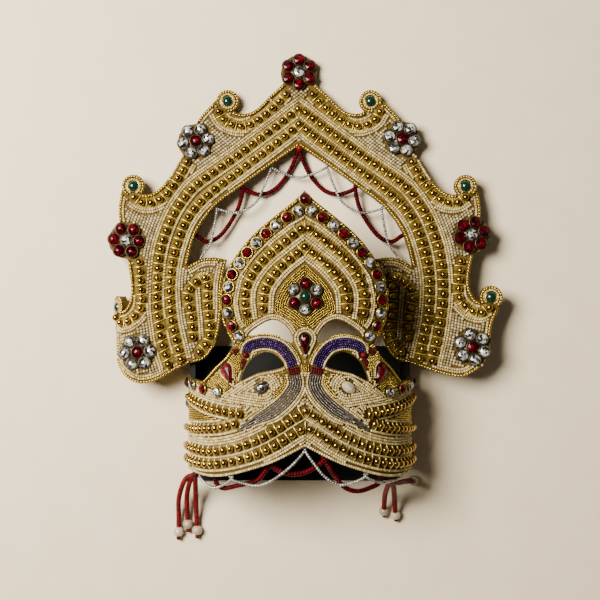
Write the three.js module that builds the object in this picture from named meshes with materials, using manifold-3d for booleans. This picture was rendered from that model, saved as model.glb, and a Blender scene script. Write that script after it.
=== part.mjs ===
// Mukut crown lying on its back: beaded halo board, curved front board and dark back panel.
// Millimetres. +Z up from the surface it lies on, +Y to the crown's top, +X to the right as seen from above.
// The origin is the middle of the back panel's underside.

import * as THREE from "three";
import { mergeVertices } from "three/addons/utils/BufferGeometryUtils.js";
import Module from "manifold-3d";

const wasm = await Module();
wasm.setup();

// Sizes
const GAP = 0.35;
const WIDE_GAP = 0.5;
const PANEL = { halfWidth: 46.1, low: -82, high: -21, thick: 2, corner: 3 };
const PANEL_MIDDLE = -50;
const HALO = { thick: 3, slope: 0.102, foot: 112 };
const FLAP = { line: -73, top: 9, widths: [5, 5, 9], turns: [25, 50, 72] };
const SAG = { depth: 3, more: 1.5, inside: -50, across: 18, from: 20, to: -30, fade: 14 };
const BEYOND = 120;
const BAND = { radius: 49, centre: 9, thick: 2.6, leg: 9, low: -24 };
const CREST = { radius: 100, from: 4, leanFrom: -20, lean: 4 };
const TAB = { low: -34.6, high: -20, inside: 46.6, outside: 48.9 };
const BEAD_ROW = 1.45;
const STEP = {
  arch: 10, scallop: 5.5, wing: 4, front: 7.5, side: 6, archString: 6.5, bandString: 6.8, tassel: 7.5,
};
const STRING = { red: 0.7, silver: 0.5, tassel: 0.95, pearl: 2.15 };
const STONE = { flower: 2.55, ring: 5.7, border: 2.2, scroll: 2.15, height: 2.0, setting: 0.9 };
const rad = THREE.MathUtils.degToRad;
const ease = (t) => {
  const u = Math.min(1, Math.max(0, t));
  return u * u * (3 - 2 * u);
};

// Outline of the halo's right half, from the top flower round to the arch, one list a stretch
const HALO_EDGE = {
  scallop1: [[0, 107], [7.3, 97.9], [13.2, 92.4], [18.6, 86.8], [23.1, 84.4], [28, 84.4], [31, 87]],
  shoulder1: [[36.8, 91.2], [41.5, 86.3], [45.2, 81.9], [48.5, 75]],
  scallop2: [[51.4, 66.8], [57.1, 57.2], [62, 50.9], [66.5, 47.8], [70, 47.4], [73, 49]],
  shoulder2: [[79.4, 50.5], [80.6, 45.7], [81.2, 39.1], [80, 31]],
  scallop3: [[77.5, 21], [76.3, 15.2], [75.4, 10.3], [75.7, 4.9], [78.3, 0.2], [82, -1]],
  shoulder3: [[89.3, -2.2], [87, -6.5], [85.3, -10.5], [84.5, -16], [84.4, -21]],
  lobe: [[84.2, -21.5], [81.9, -27.2], [76.7, -31.8], [70.7, -34], [62.3, -32.6], [55.2, -30.2], [49, -28]],
  wing: [
    [48.9, -27.9], [43, -26.4], [38.8, -21.6], [36.2, -14.4], [35.1, -6], [35, 4.9], [33.9, 12.5], [32.4, 18],
  ],
  wingTop: [[32.4, 18], [38.3, 19], [44.1, 18.4], [50.4, 15]],
  arch: [[50.4, 15], [46.5, 29.5], [38, 41.8], [25.5, 51.5], [12.9, 60.7], [0, 69.5]],
};
const SCROLLS = [
  { name: "upper", x: 32.3, y: 89.9 },
  { name: "middle", x: 74.6, y: 51.2 },
  { name: "lower", x: 85.1, y: 1.3 },
];
const SCROLL_DISC = 5;
const FLOWERS = [
  { name: "top", x: 0, y: 103, turn: 90, centre: "white" },
  { name: "upper_left", x: -46.6, y: 71.4, turn: 70, centre: "red" },
  { name: "upper_right", x: 46.3, y: 72.6, turn: 50, centre: "red" },
  { name: "middle_left", x: -77.4, y: 26.6, turn: 55, centre: "white" },
  { name: "middle_right", x: 77, y: 29.1, turn: 75, centre: "white" },
  { name: "lower_left", x: -72.2, y: -23.2, turn: 65, centre: "red" },
  { name: "lower_right", x: 76.2, y: -21, turn: 100, centre: "red" },
];
const FLOWER_PAD = 8.2;

// Bead rows on the halo, right half: x, y
const ARCH_ROWS = {
  outer: [
    [0, 86.6], [3.6, 83.9], [10.8, 78.2], [18, 72.8], [27.9, 65.2], [35.5, 59.8], [46.3, 52],
    [51.1, 46.8], [56.2, 39.1], [59.5, 31.4], [62.1, 22.9], [63.6, 12.5], [63.7, 1.3], [62.7, -7.1],
    [61.3, -15.6], [58.4, -27],
  ],
  inner: [
    [0, 79.4], [3.6, 76.2], [10.3, 70.9], [17.1, 65.7], [24.7, 60], [38.6, 49.3], [46.1, 42.3], [51.3, 34.5],
    [54.5, 26], [56.8, 17], [57.9, 8], [57.6, -1], [56.6, -9.5], [54.9, -17.4], [52.8, -26],
  ],
};
const SCALLOP_ROWS = {
  upper: [
    [6.2, 92.9], [11, 87.6], [15.6, 83.6], [20.8, 79.9], [26.2, 78.3], [31.2, 79.4], [34.4, 81.6], [36.4, 85],
  ],
  middle: [[50.5, 62], [54.2, 55.4], [58.6, 49], [62.8, 45.1], [66.9, 43.5], [70.9, 43.8], [74.3, 46]],
  lower: [[71.7, 17.3], [71, 11], [70.5, 5.5], [71, 1], [73, -2.2], [76.5, -4.9], [80.4, -5.6], [84, -3.4]],
};
const WING_ROW = [
  [47.6, -16.5], [47.7, -11.2], [48.6, -5], [50, 0.5], [49.6, 4.2], [46, 8.4], [42.8, 10], [41, 8],
  [41.2, 2], [40.8, -6], [40, -13], [41.4, -18.8], [44.8, -23],
];

// Outline of the front board's right half seen from the front, and its openings: x, y
const FRONT_EDGE = {
  crest: [
    [0, 45.6], [4.4, 41.2], [9.5, 37.2], [14, 33.6], [18.5, 30], [22.6, 26], [26.3, 21.7], [29.6, 17],
    [32.4, 12], [34.4, 6.3], [35.2, 0], [34.6, -6], [32.6, -12.3], [29.3, -18],
  ],
  rim: [[29.3, -18], [32, -23.5], [37, -28.7], [41, -33.6], [43, -35], [46, -34.6], [53, -34.6]],
  foot: [[53, -73.2], [46.4, -75.2], [39.3, -75.5], [31.5, -74], [21.7, -70.7], [12.3, -67], [0, -60.5]],
};
const CRESCENT = [
  [23.4, -14.8], [19, -10.7], [13.4, -8.2], [8.4, -10.2], [5.2, -15], [5.7, -17.9], [11.6, -14.9],
  [16.2, -14.1],
];
const NECK_GAP = [
  [26.6, -33.6], [24.2, -27.4], [20.9, -23.6], [16.7, -21.5], [12.9, -22.2], [9.9, -24.7], [8.6, -27.2],
  [11.2, -28.5], [15, -29.4], [19.5, -30.4], [23.6, -32.4],
];

// Bead rows on the front board, right half: distance round the board, y
const FRONT_ROWS = {
  crest_row_outer: [
    [0, 30.7], [3.8, 27.9], [10.4, 22.6], [16.6, 17.3], [22, 10.6], [24.6, 4.6], [25, -1], [24.5, -5.6],
  ],
  crest_row_inner: [[0, 22], [3.4, 19.3], [9.6, 14.2], [14.9, 7.9], [17, 3], [17.5, -3.6]],
  band_row_upper: [
    [0, -45.6], [4.3, -48.3], [10.9, -52.8], [18.2, -57.2], [26.5, -60.7], [34, -62.8], [42.6, -64.3],
    [52, -64.9], [77, -64.9],
  ],
  band_row_lower: [
    [0, -52.4], [4.3, -54.8], [10.9, -59.2], [18.2, -63.1], [26.5, -66.2], [35.9, -68.6], [45, -69.9],
    [54, -70.4], [77, -70.3],
  ],
};
const SIDE_ROWS = {
  upper: [[28, -47.6], [38.2, -46.8], [44, -46.2], [50.1, -45.4], [57, -44.4], [67.5, -42.8]],
  lower: [
    [30.5, -51.9], [35.9, -53.3], [41.3, -54.3], [46.9, -54.9], [53.8, -55.6], [64.3, -56.2], [76, -56.7],
  ],
};

// Stones on the front board, right half: distance round the board, y
const CREST_STONES = [
  [0, 42], [2.7, 36.9], [7.3, 34.2], [11.8, 30.8], [16, 27.5], [19.9, 23.7], [23.8, 19.7], [27.1, 15.3],
  [30.3, 10.6], [31.7, 5.4], [32.7, 0.1], [32.4, -5.3], [31, -10.8], [27.8, -15],
];
const CREST_FLOWER = { y: 1.4, ring: 5.4, stone: 2.2, turn: 90 };
const CENTRE_DROP = { s: 0, y: -18, half: 2.3, length: 9, turn: 180 };
const LEAF_DROP = { s: 34.4, y: -31, half: 2.9, length: 9.4, turn: 150 };
const DROP_TAPER = 0.55;
const BODY_STONE = { s: 18.2, y: -36.2, long: 3.4, short: 2.2, turn: -32 };
const RIM_STONES = [[39.8, -38.9], [49.8, -38.2], [59.8, -37], [69, -36.6]];
const SIDE_STONE = { s: 76, y: -46 };

// Strings in the arch, right half: points x, y, and how far the middle hangs towards the table
const ARCH_SWAGS = {
  red: {
    drop: 5.5,
    loops: [
      [[0, 68.2], [4.6, 57.8], [10.9, 50.3], [17, 47.9], [21.4, 48.6], [25.2, 50.3]],
      [[25.2, 50.3], [27.8, 41], [34.8, 30], [41.2, 26.3], [45.6, 28.6]],
    ],
  },
  silver: {
    drop: 2,
    loops: [
      [[12.4, 59.9], [6.4, 57.1], [0, 55.4], [-6.4, 57.1], [-12.4, 59.9]],
      [[12.4, 59.9], [16, 51], [20, 43.6], [28, 39.4], [36.9, 41]],
      [[36.9, 41], [38.6, 32], [40.4, 24.5], [43.7, 19.9]],
    ],
  },
};
// Strings under the band: points as distance round the board, y
const BAND_SWAGS = {
  red: {
    lift: -3.7,
    loops: [
      [[-16, -68.7], [-20.5, -74.3], [-24, -76.3], [-33, -78.5], [-41, -80.3], [-46, -79.2], [-47.5, -76.8]],
      [[-16, -68.7], [-10, -71.6], [-4.5, -72.4], [2, -70.8], [9, -66.4]],
      [[9, -66.4], [14, -73.5], [19, -78.4], [25.5, -80.2], [33, -79.3], [39.5, -77.6]],
    ],
  },
  silver: {
    lift: -1.3,
    loops: [
      [[-0.2, -62.4], [-5, -67.8], [-10, -72], [-16, -75.8], [-21.5, -77.4], [-28, -76.7], [-34, -75.6]],
      [[-34, -75.6], [-40, -79], [-47, -80.4], [-53, -79], [-58, -76.9]],
      [[-0.2, -62.4], [3.6, -67.4], [8.4, -73], [14.5, -76.6], [21, -76.2], [28, -73.9]],
      [[28, -73.9], [34, -76.6], [40, -77.4], [46.5, -77.3], [52.4, -76.8]],
    ],
  },
};
// Tassels: where the strings start, and the way of each to its pearl
const TASSELS = {
  left: {
    top: [-46.3, -76.8, 20.5],
    ways: [
      [[-48.6, -79.5, 16.5], [-50.6, -88, 8], [-50.6, -96, 3.4], [-50.4, -101.8, 2.2]],
      [[-51, -79.6, 16], [-54.2, -89, 7], [-54.5, -98, 3.2], [-54.6, -105.2, 2.2]],
      [[-46.6, -80.5, 16], [-46.6, -89, 7.5], [-46.4, -98, 3.2], [-46.2, -104.6, 2.2]],
    ],
  },
  right: {
    top: [38.2, -77.8, 33],
    ways: [
      [[38, -81.5, 24], [38.2, -87.5, 11], [38.7, -95.9, 2.2]],
      [[40.6, -82, 23], [42.6, -89, 10], [43.9, -97.6, 2.2]],
      [[42.4, -79.8, 25], [47.3, -81.2, 11], [52, -82, 2.2]],
    ],
  },
};

// Materials, one colour each
const tint = (color, metalness, roughness) => ({ color, metalness, roughness });
const LOOK = {
  cream: tint(0xcdbb8c, 0.1, 0.6),
  gold: tint(0xb0862b, 0.9, 0.35),
  lining: tint(0x161a17, 0, 0.9),
  red: tint(0x7a0c18, 0, 0.15),
  white: tint(0xdde2e6, 0.2, 0.1),
  green: tint(0x0b4a38, 0, 0.15),
  silver: tint(0xc3c6c9, 0.8, 0.35),
};

// Solids from three.js geometry
function solid(geometry) {
  const bare = geometry.clone();
  bare.deleteAttribute("normal");
  bare.deleteAttribute("uv");
  const merged = mergeVertices(bare, 1e-4);
  return new wasm.Manifold(
    new wasm.Mesh({
      numProp: 3,
      vertProperties: merged.attributes.position.array,
      triVerts: new Uint32Array(merged.index.array),
    }),
  );
}

function geometryOf(manifold) {
  const mesh = manifold.getMesh();
  return new THREE.BufferGeometry()
    .setAttribute("position", new THREE.BufferAttribute(mesh.vertProperties, 3))
    .setIndex(new THREE.BufferAttribute(mesh.triVerts, 1));
}

function fused(geometries) {
  return geometryOf(geometries.map(solid).reduce((all, one) => all.add(one)));
}

const crown = new THREE.Group();
crown.name = "crown";
crown.position.y = -PANEL_MIDDLE;

function add(name, geometry, look) {
  const flat = geometry.index ? geometry.toNonIndexed() : geometry;
  flat.computeVertexNormals();
  const mesh = new THREE.Mesh(flat, new THREE.MeshStandardMaterial(LOOK[look]));
  mesh.name = name;
  crown.add(mesh);
  return mesh;
}

// The halo's plane: x and y as seen from above, h above the board's front face
const haloBack = (y) => (HALO.foot - y) * HALO.slope;

function haloPoint(x, y, h) {
  const bent = bend(x, y, h);
  return new THREE.Vector3(bent.x, y, haloBack(y) + HALO.thick + bent.h);
}

// The left lower corner turns back in three flat strips past the fold line
function bend(x, y, h, strip) {
  let beyond = FLAP.line - x;
  if (strip === undefined && (beyond <= 0 || y > FLAP.top)) return { x, h };
  let atX = FLAP.line;
  let atH = 0;
  for (let i = 0; i < FLAP.widths.length; i++) {
    const turn = rad(FLAP.turns[i]);
    const last = i === FLAP.widths.length - 1;
    const here = strip === undefined ? beyond <= FLAP.widths[i] || last : strip === i;
    if (here)
      return {
        x: atX - beyond * Math.cos(turn) - h * Math.sin(turn),
        h: atH - beyond * Math.sin(turn) + h * Math.cos(turn),
      };
    atX -= FLAP.widths[i] * Math.cos(turn);
    atH -= FLAP.widths[i] * Math.sin(turn);
    beyond -= FLAP.widths[i];
  }
}

function bendTurn(x, y) {
  const beyond = FLAP.line - x;
  if (beyond <= 0 || y > FLAP.top) return 0;
  let reach = 0;
  for (let i = 0; i < FLAP.widths.length; i++) {
    reach += FLAP.widths[i];
    if (beyond <= reach) return rad(FLAP.turns[i]);
  }
  return rad(FLAP.turns.at(-1));
}

// The left lower scroll and lobe sit lower than the right ones
function sag(x, y) {
  const deep = SAG.depth + SAG.more * ease((y - SAG.to) / SAG.fade);
  return y - deep * ease((SAG.from - y) / SAG.fade) * ease((SAG.inside - x) / SAG.across);
}

// Smooth stretches of an outline, then the whole outline mirrored about the middle
function stretch(points, per) {
  const curve = new THREE.SplineCurve(points.map(([x, y]) => new THREE.Vector2(x, y)));
  return curve.getPoints(per * (points.length - 1));
}

function mirroredOutline(edges, per) {
  const right = Object.values(edges).flatMap((points) => stretch(points, per));
  const kept = right.filter((p, i) => i === 0 || p.distanceTo(right[i - 1]) > 0.05);
  const left = kept
    .filter((p) => p.x > 0.01)
    .map((p) => new THREE.Vector2(-p.x, sag(-p.x, p.y)))
    .reverse();
  return new THREE.Shape([...kept, ...left]);
}

// An opening rounded through its points
function rounded(points, per) {
  const corners = points.map(([x, y]) => new THREE.Vector3(x, y, 0));
  const loop = new THREE.CatmullRomCurve3(corners, true, "catmullrom").getPoints(per * points.length);
  return new THREE.Shape(loop.slice(1).map(({ x, y }) => new THREE.Vector2(x, y)));
}

function slab(shape, thick, low) {
  const settings = { depth: thick, bevelEnabled: false, steps: 1 };
  return new THREE.ExtrudeGeometry(shape, settings).translate(0, 0, low);
}

function disc(x, y, radius, sides) {
  const rim = new THREE.EllipseCurve(x, y, radius, radius, 0, Math.PI * 2);
  return new THREE.Shape(rim.getPoints(sides).slice(1));
}

function box(x0, x1, y0, y1, z0, z1) {
  const block = new THREE.BoxGeometry(x1 - x0, y1 - y0, z1 - z0);
  return block.translate((x0 + x1) / 2, (y0 + y1) / 2, (z0 + z1) / 2);
}

// Halo board: the arch with scroll discs and flower pads, its left lower corner cut off and put back turned
function haloBoard() {
  let flat = solid(slab(mirroredOutline(HALO_EDGE, 2), HALO.thick, -HALO.thick));
  const round = (x, y, r, sides) => solid(slab(disc(x, y, r, sides), HALO.thick, -HALO.thick));
  SCROLLS.forEach(({ x, y }) => {
    flat = flat.add(round(x, y, SCROLL_DISC, 14)).add(round(-x, sag(-x, y), SCROLL_DISC, 14));
  });
  FLOWERS.forEach(({ x, y, name }) => {
    if (!name.startsWith("lower")) flat = flat.add(round(x, y, FLOWER_PAD, 16));
  });
  let board = flat.subtract(solid(box(-BEYOND, FLAP.line, -BEYOND, FLAP.top, -BEYOND, BEYOND)));
  let from = 0;
  FLAP.widths.forEach((width, i) => {
    const cut = box(FLAP.line - from - width, FLAP.line - from, -BEYOND, FLAP.top, -BEYOND, BEYOND);
    const strip = geometryOf(flat.intersect(solid(cut)));
    const place = strip.getAttribute("position");
    for (let k = 0; k < place.count; k++) {
      const bent = bend(place.getX(k), place.getY(k), place.getZ(k), i);
      place.setXYZ(k, bent.x, place.getY(k), bent.h);
    }
    board = board.add(solid(strip));
    from += width;
  });
  const leaning = geometryOf(board);
  const place = leaning.getAttribute("position");
  for (let k = 0; k < place.count; k++)
    place.setZ(k, place.getZ(k) + HALO.thick + haloBack(place.getY(k)));
  return leaning;
}

// The front board's surface: s round the board from the middle, y up the crown, h out from its face
function frontTurn(s, y) {
  const t = ease((y - BAND.low) / (CREST.from - BAND.low));
  const radius = 1 / ((1 - t) / BAND.radius + t / CREST.radius);
  return { radius, turn: s / radius };
}

function frontPoint(s, y, h) {
  const { radius, turn } = frontTurn(s, y);
  const face = BAND.centre + BAND.radius - Math.max(0, y - CREST.leanFrom) * Math.tan(rad(CREST.lean));
  const side = Math.sign(s);
  const leg = Math.abs(s) - (radius * Math.PI) / 2;
  if (leg > 0) return new THREE.Vector3(side * (radius + h), y, face - radius - leg);
  return new THREE.Vector3((radius + h) * Math.sin(turn), y, face - radius + (radius + h) * Math.cos(turn));
}

// Closed sheet between two faces of a surface, sampled at the given columns and rows
function sheet(columns, rows, point, front, back) {
  const vertices = [];
  const faces = [];
  const n = columns.length;
  const m = rows.length;
  [front, back].forEach((h) => rows.forEach((y) => columns.forEach((s) => vertices.push(...point(s, y, h)))));
  const at = (side, j, i) => side * n * m + j * n + i;
  const quad = (a, b, c, d) => faces.push(a, b, c, a, c, d);
  for (let j = 0; j + 1 < m; j++)
    for (let i = 0; i + 1 < n; i++) {
      quad(at(0, j, i), at(0, j, i + 1), at(0, j + 1, i + 1), at(0, j + 1, i));
      quad(at(1, j, i), at(1, j + 1, i), at(1, j + 1, i + 1), at(1, j, i + 1));
    }
  for (let i = 0; i + 1 < n; i++) {
    quad(at(0, 0, i), at(1, 0, i), at(1, 0, i + 1), at(0, 0, i + 1));
    quad(at(0, m - 1, i), at(0, m - 1, i + 1), at(1, m - 1, i + 1), at(1, m - 1, i));
  }
  for (let j = 0; j + 1 < m; j++) {
    quad(at(0, j, 0), at(0, j + 1, 0), at(1, j + 1, 0), at(1, j, 0));
    quad(at(0, j, n - 1), at(1, j, n - 1), at(1, j + 1, n - 1), at(0, j + 1, n - 1));
  }
  return new THREE.BufferGeometry()
    .setAttribute("position", new THREE.Float32BufferAttribute(vertices, 3))
    .setIndex(faces);
}

// Front board: the curved sheet kept inside the outline and outside the openings, with a tab behind each lobe
function frontBoard() {
  const reach = (BAND.radius * Math.PI) / 2 + BAND.leg;
  const columns = Array.from({ length: 37 }, (_, i) => -reach + (i * 2 * reach) / 36);
  const rows = [-80, BAND.low, -17, -10, -3, CREST.from, 50];
  const outline = solid(slab(mirroredOutline(FRONT_EDGE, 1), BEYOND, -GAP));
  let board = solid(sheet(columns, rows, frontPoint, 0, -BAND.thick)).intersect(outline);
  [CRESCENT, NECK_GAP, flipped(CRESCENT), flipped(NECK_GAP)].forEach((gap) => {
    board = board.subtract(solid(slab(rounded(gap, 2), BEYOND, -GAP)));
  });
  const top = (y) => haloBack(y) - GAP;
  const side = new THREE.Shape([
    new THREE.Vector2(TAB.low - 0.5, 0.02),
    new THREE.Vector2(TAB.high, 0.02),
    new THREE.Vector2(TAB.high, top(TAB.high)),
    new THREE.Vector2(TAB.low - 0.5, top(TAB.low - 0.5)),
  ]);
  const tab = slab(side, TAB.outside - TAB.inside, TAB.inside);
  tab.applyMatrix4(new THREE.Matrix4().set(0, 0, 1, 0, 1, 0, 0, 0, 0, 1, 0, 0, 0, 0, 0, 1));
  const left = tab.clone().translate(-TAB.inside - TAB.outside, 0, 0);
  board = board.add(solid(tab)).add(solid(left));
  return geometryOf(board);
}

function backPanel() {
  const { halfWidth: w, low, high, corner: c } = PANEL;
  const shape = new THREE.Shape();
  shape.moveTo(-w + c, low);
  shape.lineTo(w - c, low);
  shape.absarc(w - c, low + c, c, -Math.PI / 2, 0);
  shape.lineTo(w, high - c);
  shape.absarc(w - c, high - c, c, 0, Math.PI / 2);
  shape.lineTo(-w + c, high);
  shape.absarc(-w + c, high - c, c, Math.PI / 2, Math.PI);
  shape.lineTo(-w, low + c);
  shape.absarc(-w + c, low + c, c, Math.PI, Math.PI * 1.5);
  return new THREE.ExtrudeGeometry(shape, { depth: PANEL.thick, bevelEnabled: false, curveSegments: 4 });
}

// Tube of eight sides along a smooth line
function tube(points, radius, step, sides = 8) {
  const way = new THREE.CatmullRomCurve3(points, false, "centripetal");
  const steps = Math.max(3, Math.round(way.getLength() / step));
  const section = disc(0, 0, radius, sides);
  return new THREE.ExtrudeGeometry(section, { steps, extrudePath: way, bevelEnabled: false });
}

const mirrored = (half) => [...half.slice(1).reverse().map(([x, y]) => [-x, y]), ...half];
const spaced = (points) => {
  const line = new THREE.SplineCurve(points.map(([x, y]) => new THREE.Vector2(x, y)));
  return line.getSpacedPoints(Math.ceil(line.getLength() / 4));
};
const onHalo = (points, lift) => spaced(points).map((p) => haloPoint(p.x, sag(p.x, p.y), lift));
const onFront = (points, lift) => spaced(points).map((p) => frontPoint(p.x, p.y, lift));
const flipped = (points) => points.map(([x, y]) => [-x, y]);
const ROW_LIFT = BEAD_ROW + GAP;

// Stones: a girdle, eight crown facets and a table, standing on z = 0
function roundStone(radius, sides = 8) {
  return new THREE.CylinderGeometry(radius * 0.58, radius, STONE.height, sides)
    .rotateX(Math.PI / 2)
    .translate(0, 0, STONE.height / 2);
}

function ovalStone({ long, short, turn }) {
  return roundStone(1, 10).scale(long, short, 1).rotateZ(rad(turn));
}

function dropStone({ half, length, turn }) {
  const stone = roundStone(1, 12);
  const place = stone.getAttribute("position");
  for (let k = 0; k < place.count; k++) {
    const up = place.getY(k);
    const narrow = up > 0 ? 1 - DROP_TAPER * up : 1;
    const reach = up > 0 ? length - half : half;
    place.setXY(k, place.getX(k) * half * narrow, up * reach + half - length / 2);
  }
  return stone.rotateZ(rad(turn));
}

function flowerAt(ring, stone, turn) {
  const plate = (ring + stone) * 1.04;
  const pieces = [new THREE.CylinderGeometry(plate, plate, STONE.setting, 14).rotateX(Math.PI / 2)];
  pieces[0].translate(0, 0, STONE.setting / 2);
  const lift = STONE.setting - 0.2;
  pieces.push(roundStone(stone).translate(0, 0, lift));
  for (let k = 0; k < 6; k++) {
    const angle = rad(turn + 60 * k);
    pieces.push(roundStone(stone).translate(ring * Math.cos(angle), ring * Math.sin(angle), lift));
  }
  return fused(pieces);
}

// A piece made on z = 0 set down on the halo or on the front board
function onHaloAt(geometry, x, y) {
  const lean = Math.atan(-HALO.slope);
  geometry.rotateX(lean).rotateY(-bendTurn(x, y));
  return geometry.translate(...haloPoint(x, y, GAP));
}

function onFrontAt(geometry, s, y, lift = GAP) {
  const lean = y > CREST.leanFrom ? -rad(CREST.lean) : 0;
  const { turn } = frontTurn(s, y);
  geometry.rotateX(lean).rotateY(Math.max(-Math.PI / 2, Math.min(Math.PI / 2, turn)));
  return geometry.translate(...frontPoint(s, y, lift));
}

// A row of stones fused to the strip they are set on
function stoneRow(points, radius) {
  const across = points.map((_, i) => {
    const [s0, y0] = points[Math.max(0, i - 1)];
    const [s1, y1] = points[Math.min(points.length - 1, i + 1)];
    return new THREE.Vector2(y0 - y1, s1 - s0).normalize();
  });
  const strip = sheet(
    [radius + 0.2, -radius - 0.2],
    points.map((_, i) => i),
    (w, i, h) => frontPoint(points[i][0] + w * across[i].x, points[i][1] + w * across[i].y, h),
    GAP + STONE.setting,
    GAP,
  );
  const lift = GAP + STONE.setting - 0.3;
  return fused([strip, ...points.map(([s, y]) => onFrontAt(roundStone(radius), s, y, lift))]);
}

// Boards and panel
add("halo_board", haloBoard(), "cream");
add("front_board", frontBoard(), "cream");
add("back_panel", backPanel(), "lining");

// Stones on the halo
FLOWERS.forEach(({ name, x, y, turn, centre }) => {
  const flower = onHaloAt(flowerAt(STONE.ring, STONE.flower, turn), x, y);
  add("flower_" + name, flower, centre === "red" ? "white" : "red");
});
SCROLLS.forEach(({ name, x, y }) => {
  [["right", x], ["left", -x]].forEach(([side, across]) => {
    const stone = onHaloAt(roundStone(STONE.scroll), across, sag(across, y));
    add("scroll_stone_" + name + "_" + side, stone, "green");
  });
});

// Stones on the front board
add("crest_stones", stoneRow(mirrored(CREST_STONES), STONE.border), "red");
const crestFlower = flowerAt(CREST_FLOWER.ring, CREST_FLOWER.stone, CREST_FLOWER.turn);
add("crest_flower", onFrontAt(crestFlower, 0, CREST_FLOWER.y, WIDE_GAP), "red");
add("centre_drop", onFrontAt(dropStone(CENTRE_DROP), CENTRE_DROP.s, CENTRE_DROP.y), "red");
[["right", 1], ["left", -1]].forEach(([side, sign]) => {
  const leaf = dropStone({ ...LEAF_DROP, turn: sign * LEAF_DROP.turn });
  add("leaf_drop_" + side, onFrontAt(leaf, sign * LEAF_DROP.s, LEAF_DROP.y, WIDE_GAP), "red");
  const body = ovalStone({ ...BODY_STONE, turn: sign * BODY_STONE.turn });
  add("body_stone_" + side, onFrontAt(body, sign * BODY_STONE.s, BODY_STONE.y, WIDE_GAP), "white");
  const rim = sign > 0 ? RIM_STONES : flipped(RIM_STONES);
  add("rim_stones_" + side, stoneRow(rim, STONE.border), "red");
  add("side_stone_" + side, onFrontAt(roundStone(STONE.scroll), sign * SIDE_STONE.s, SIDE_STONE.y), "green");
});

// Rows of gold beads
Object.entries(ARCH_ROWS).forEach(([name, half]) =>
  add("arch_row_" + name, tube(onHalo(mirrored(half), ROW_LIFT), BEAD_ROW, STEP.arch), "gold"),
);
Object.entries(SCALLOP_ROWS).forEach(([name, row]) => {
  add("scallop_row_" + name + "_right", tube(onHalo(row, ROW_LIFT), BEAD_ROW, STEP.scallop), "gold");
  add("scallop_row_" + name + "_left", tube(onHalo(flipped(row), ROW_LIFT), BEAD_ROW, STEP.scallop), "gold");
});
add("wing_row_right", tube(onHalo(WING_ROW, ROW_LIFT), BEAD_ROW, STEP.wing), "gold");
add("wing_row_left", tube(onHalo(flipped(WING_ROW), ROW_LIFT), BEAD_ROW, STEP.wing), "gold");
Object.entries(FRONT_ROWS).forEach(([name, half]) =>
  add(name, tube(onFront(mirrored(half), ROW_LIFT), BEAD_ROW, STEP.front), "gold"),
);
Object.entries(SIDE_ROWS).forEach(([name, row]) => {
  add("side_row_" + name + "_right", tube(onFront(row, ROW_LIFT), BEAD_ROW, STEP.side), "gold");
  add("side_row_" + name + "_left", tube(onFront(flipped(row), ROW_LIFT), BEAD_ROW, STEP.side), "gold");
});

// Strings in the arch: each loop hangs from the board's middle towards the table
function archLoop(points, drop) {
  const line = spaced(points);
  return line.map((p, i) => {
    const t = i / (line.length - 1);
    return new THREE.Vector3(p.x, p.y, haloBack(p.y) + HALO.thick / 2 - drop * 4 * t * (1 - t));
  });
}

Object.entries(ARCH_SWAGS).forEach(([name, { drop, loops }]) => {
  const crossing = (loop) => loop[0][0] * loop.at(-1)[0] < 0;
  const both = loops.flatMap((loop) => (crossing(loop) ? [loop] : [loop, flipped(loop)]));
  const tubes = both.map((loop) => tube(archLoop(loop, drop), STRING[name], STEP.archString));
  add("arch_swag_" + name, fused(tubes), name);
});

// Strings under the band, in the board's own curve
const bandLoop = (name, loop, lift) => tube(onFront(loop, lift), STRING[name], STEP.bandString);
Object.entries(BAND_SWAGS).forEach(([name, { lift, loops }]) =>
  add("band_swag_" + name, fused(loops.map((loop) => bandLoop(name, loop, lift))), name),
);

// Tassels: three strings from one knot, each with a pearl
function tassel({ top, ways }) {
  const pieces = [new THREE.SphereGeometry(STRING.tassel * 1.4, 8, 5).translate(...top)];
  ways.forEach((way) => {
    const points = [top, ...way].map((p) => new THREE.Vector3(...p));
    pieces.push(tube(points, STRING.tassel, STEP.tassel));
    pieces.push(new THREE.SphereGeometry(STRING.pearl, 10, 6).translate(...way.at(-1)));
  });
  return fused(pieces);
}
Object.entries(TASSELS).forEach(([side, table]) => add("tassel_" + side, tassel(table), "red"));

const group = new THREE.Group();
group.add(crown);
export default group;
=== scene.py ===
# %% [markdown]
# Mukut crown, dressed
#
# The crown is a small deity crown: three stiff boards covered in beads, stones and metal thread.
# It lies on its back on a pale table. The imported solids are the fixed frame, and this lesson sews
# the beads on: every bead, cord and stone is laid on the boards' own surfaces, so it sits on what
# carries it from any side.

# %% The frame
import bpy
import bmesh
import math
import numpy as np
from mathutils import Matrix, Vector

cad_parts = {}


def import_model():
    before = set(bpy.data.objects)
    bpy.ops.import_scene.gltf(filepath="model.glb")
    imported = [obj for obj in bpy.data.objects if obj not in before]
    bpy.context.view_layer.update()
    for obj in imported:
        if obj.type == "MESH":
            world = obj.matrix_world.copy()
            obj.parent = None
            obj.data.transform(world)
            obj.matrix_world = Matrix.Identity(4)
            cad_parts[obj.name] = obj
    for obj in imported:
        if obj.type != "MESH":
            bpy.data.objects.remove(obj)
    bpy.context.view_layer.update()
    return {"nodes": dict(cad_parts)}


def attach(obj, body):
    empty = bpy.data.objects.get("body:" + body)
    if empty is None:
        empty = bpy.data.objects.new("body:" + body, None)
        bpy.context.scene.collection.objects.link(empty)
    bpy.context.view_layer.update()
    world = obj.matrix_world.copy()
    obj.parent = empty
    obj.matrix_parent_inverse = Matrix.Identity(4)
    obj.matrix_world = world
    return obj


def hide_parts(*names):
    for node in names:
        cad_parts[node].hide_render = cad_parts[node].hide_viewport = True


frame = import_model()

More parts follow.
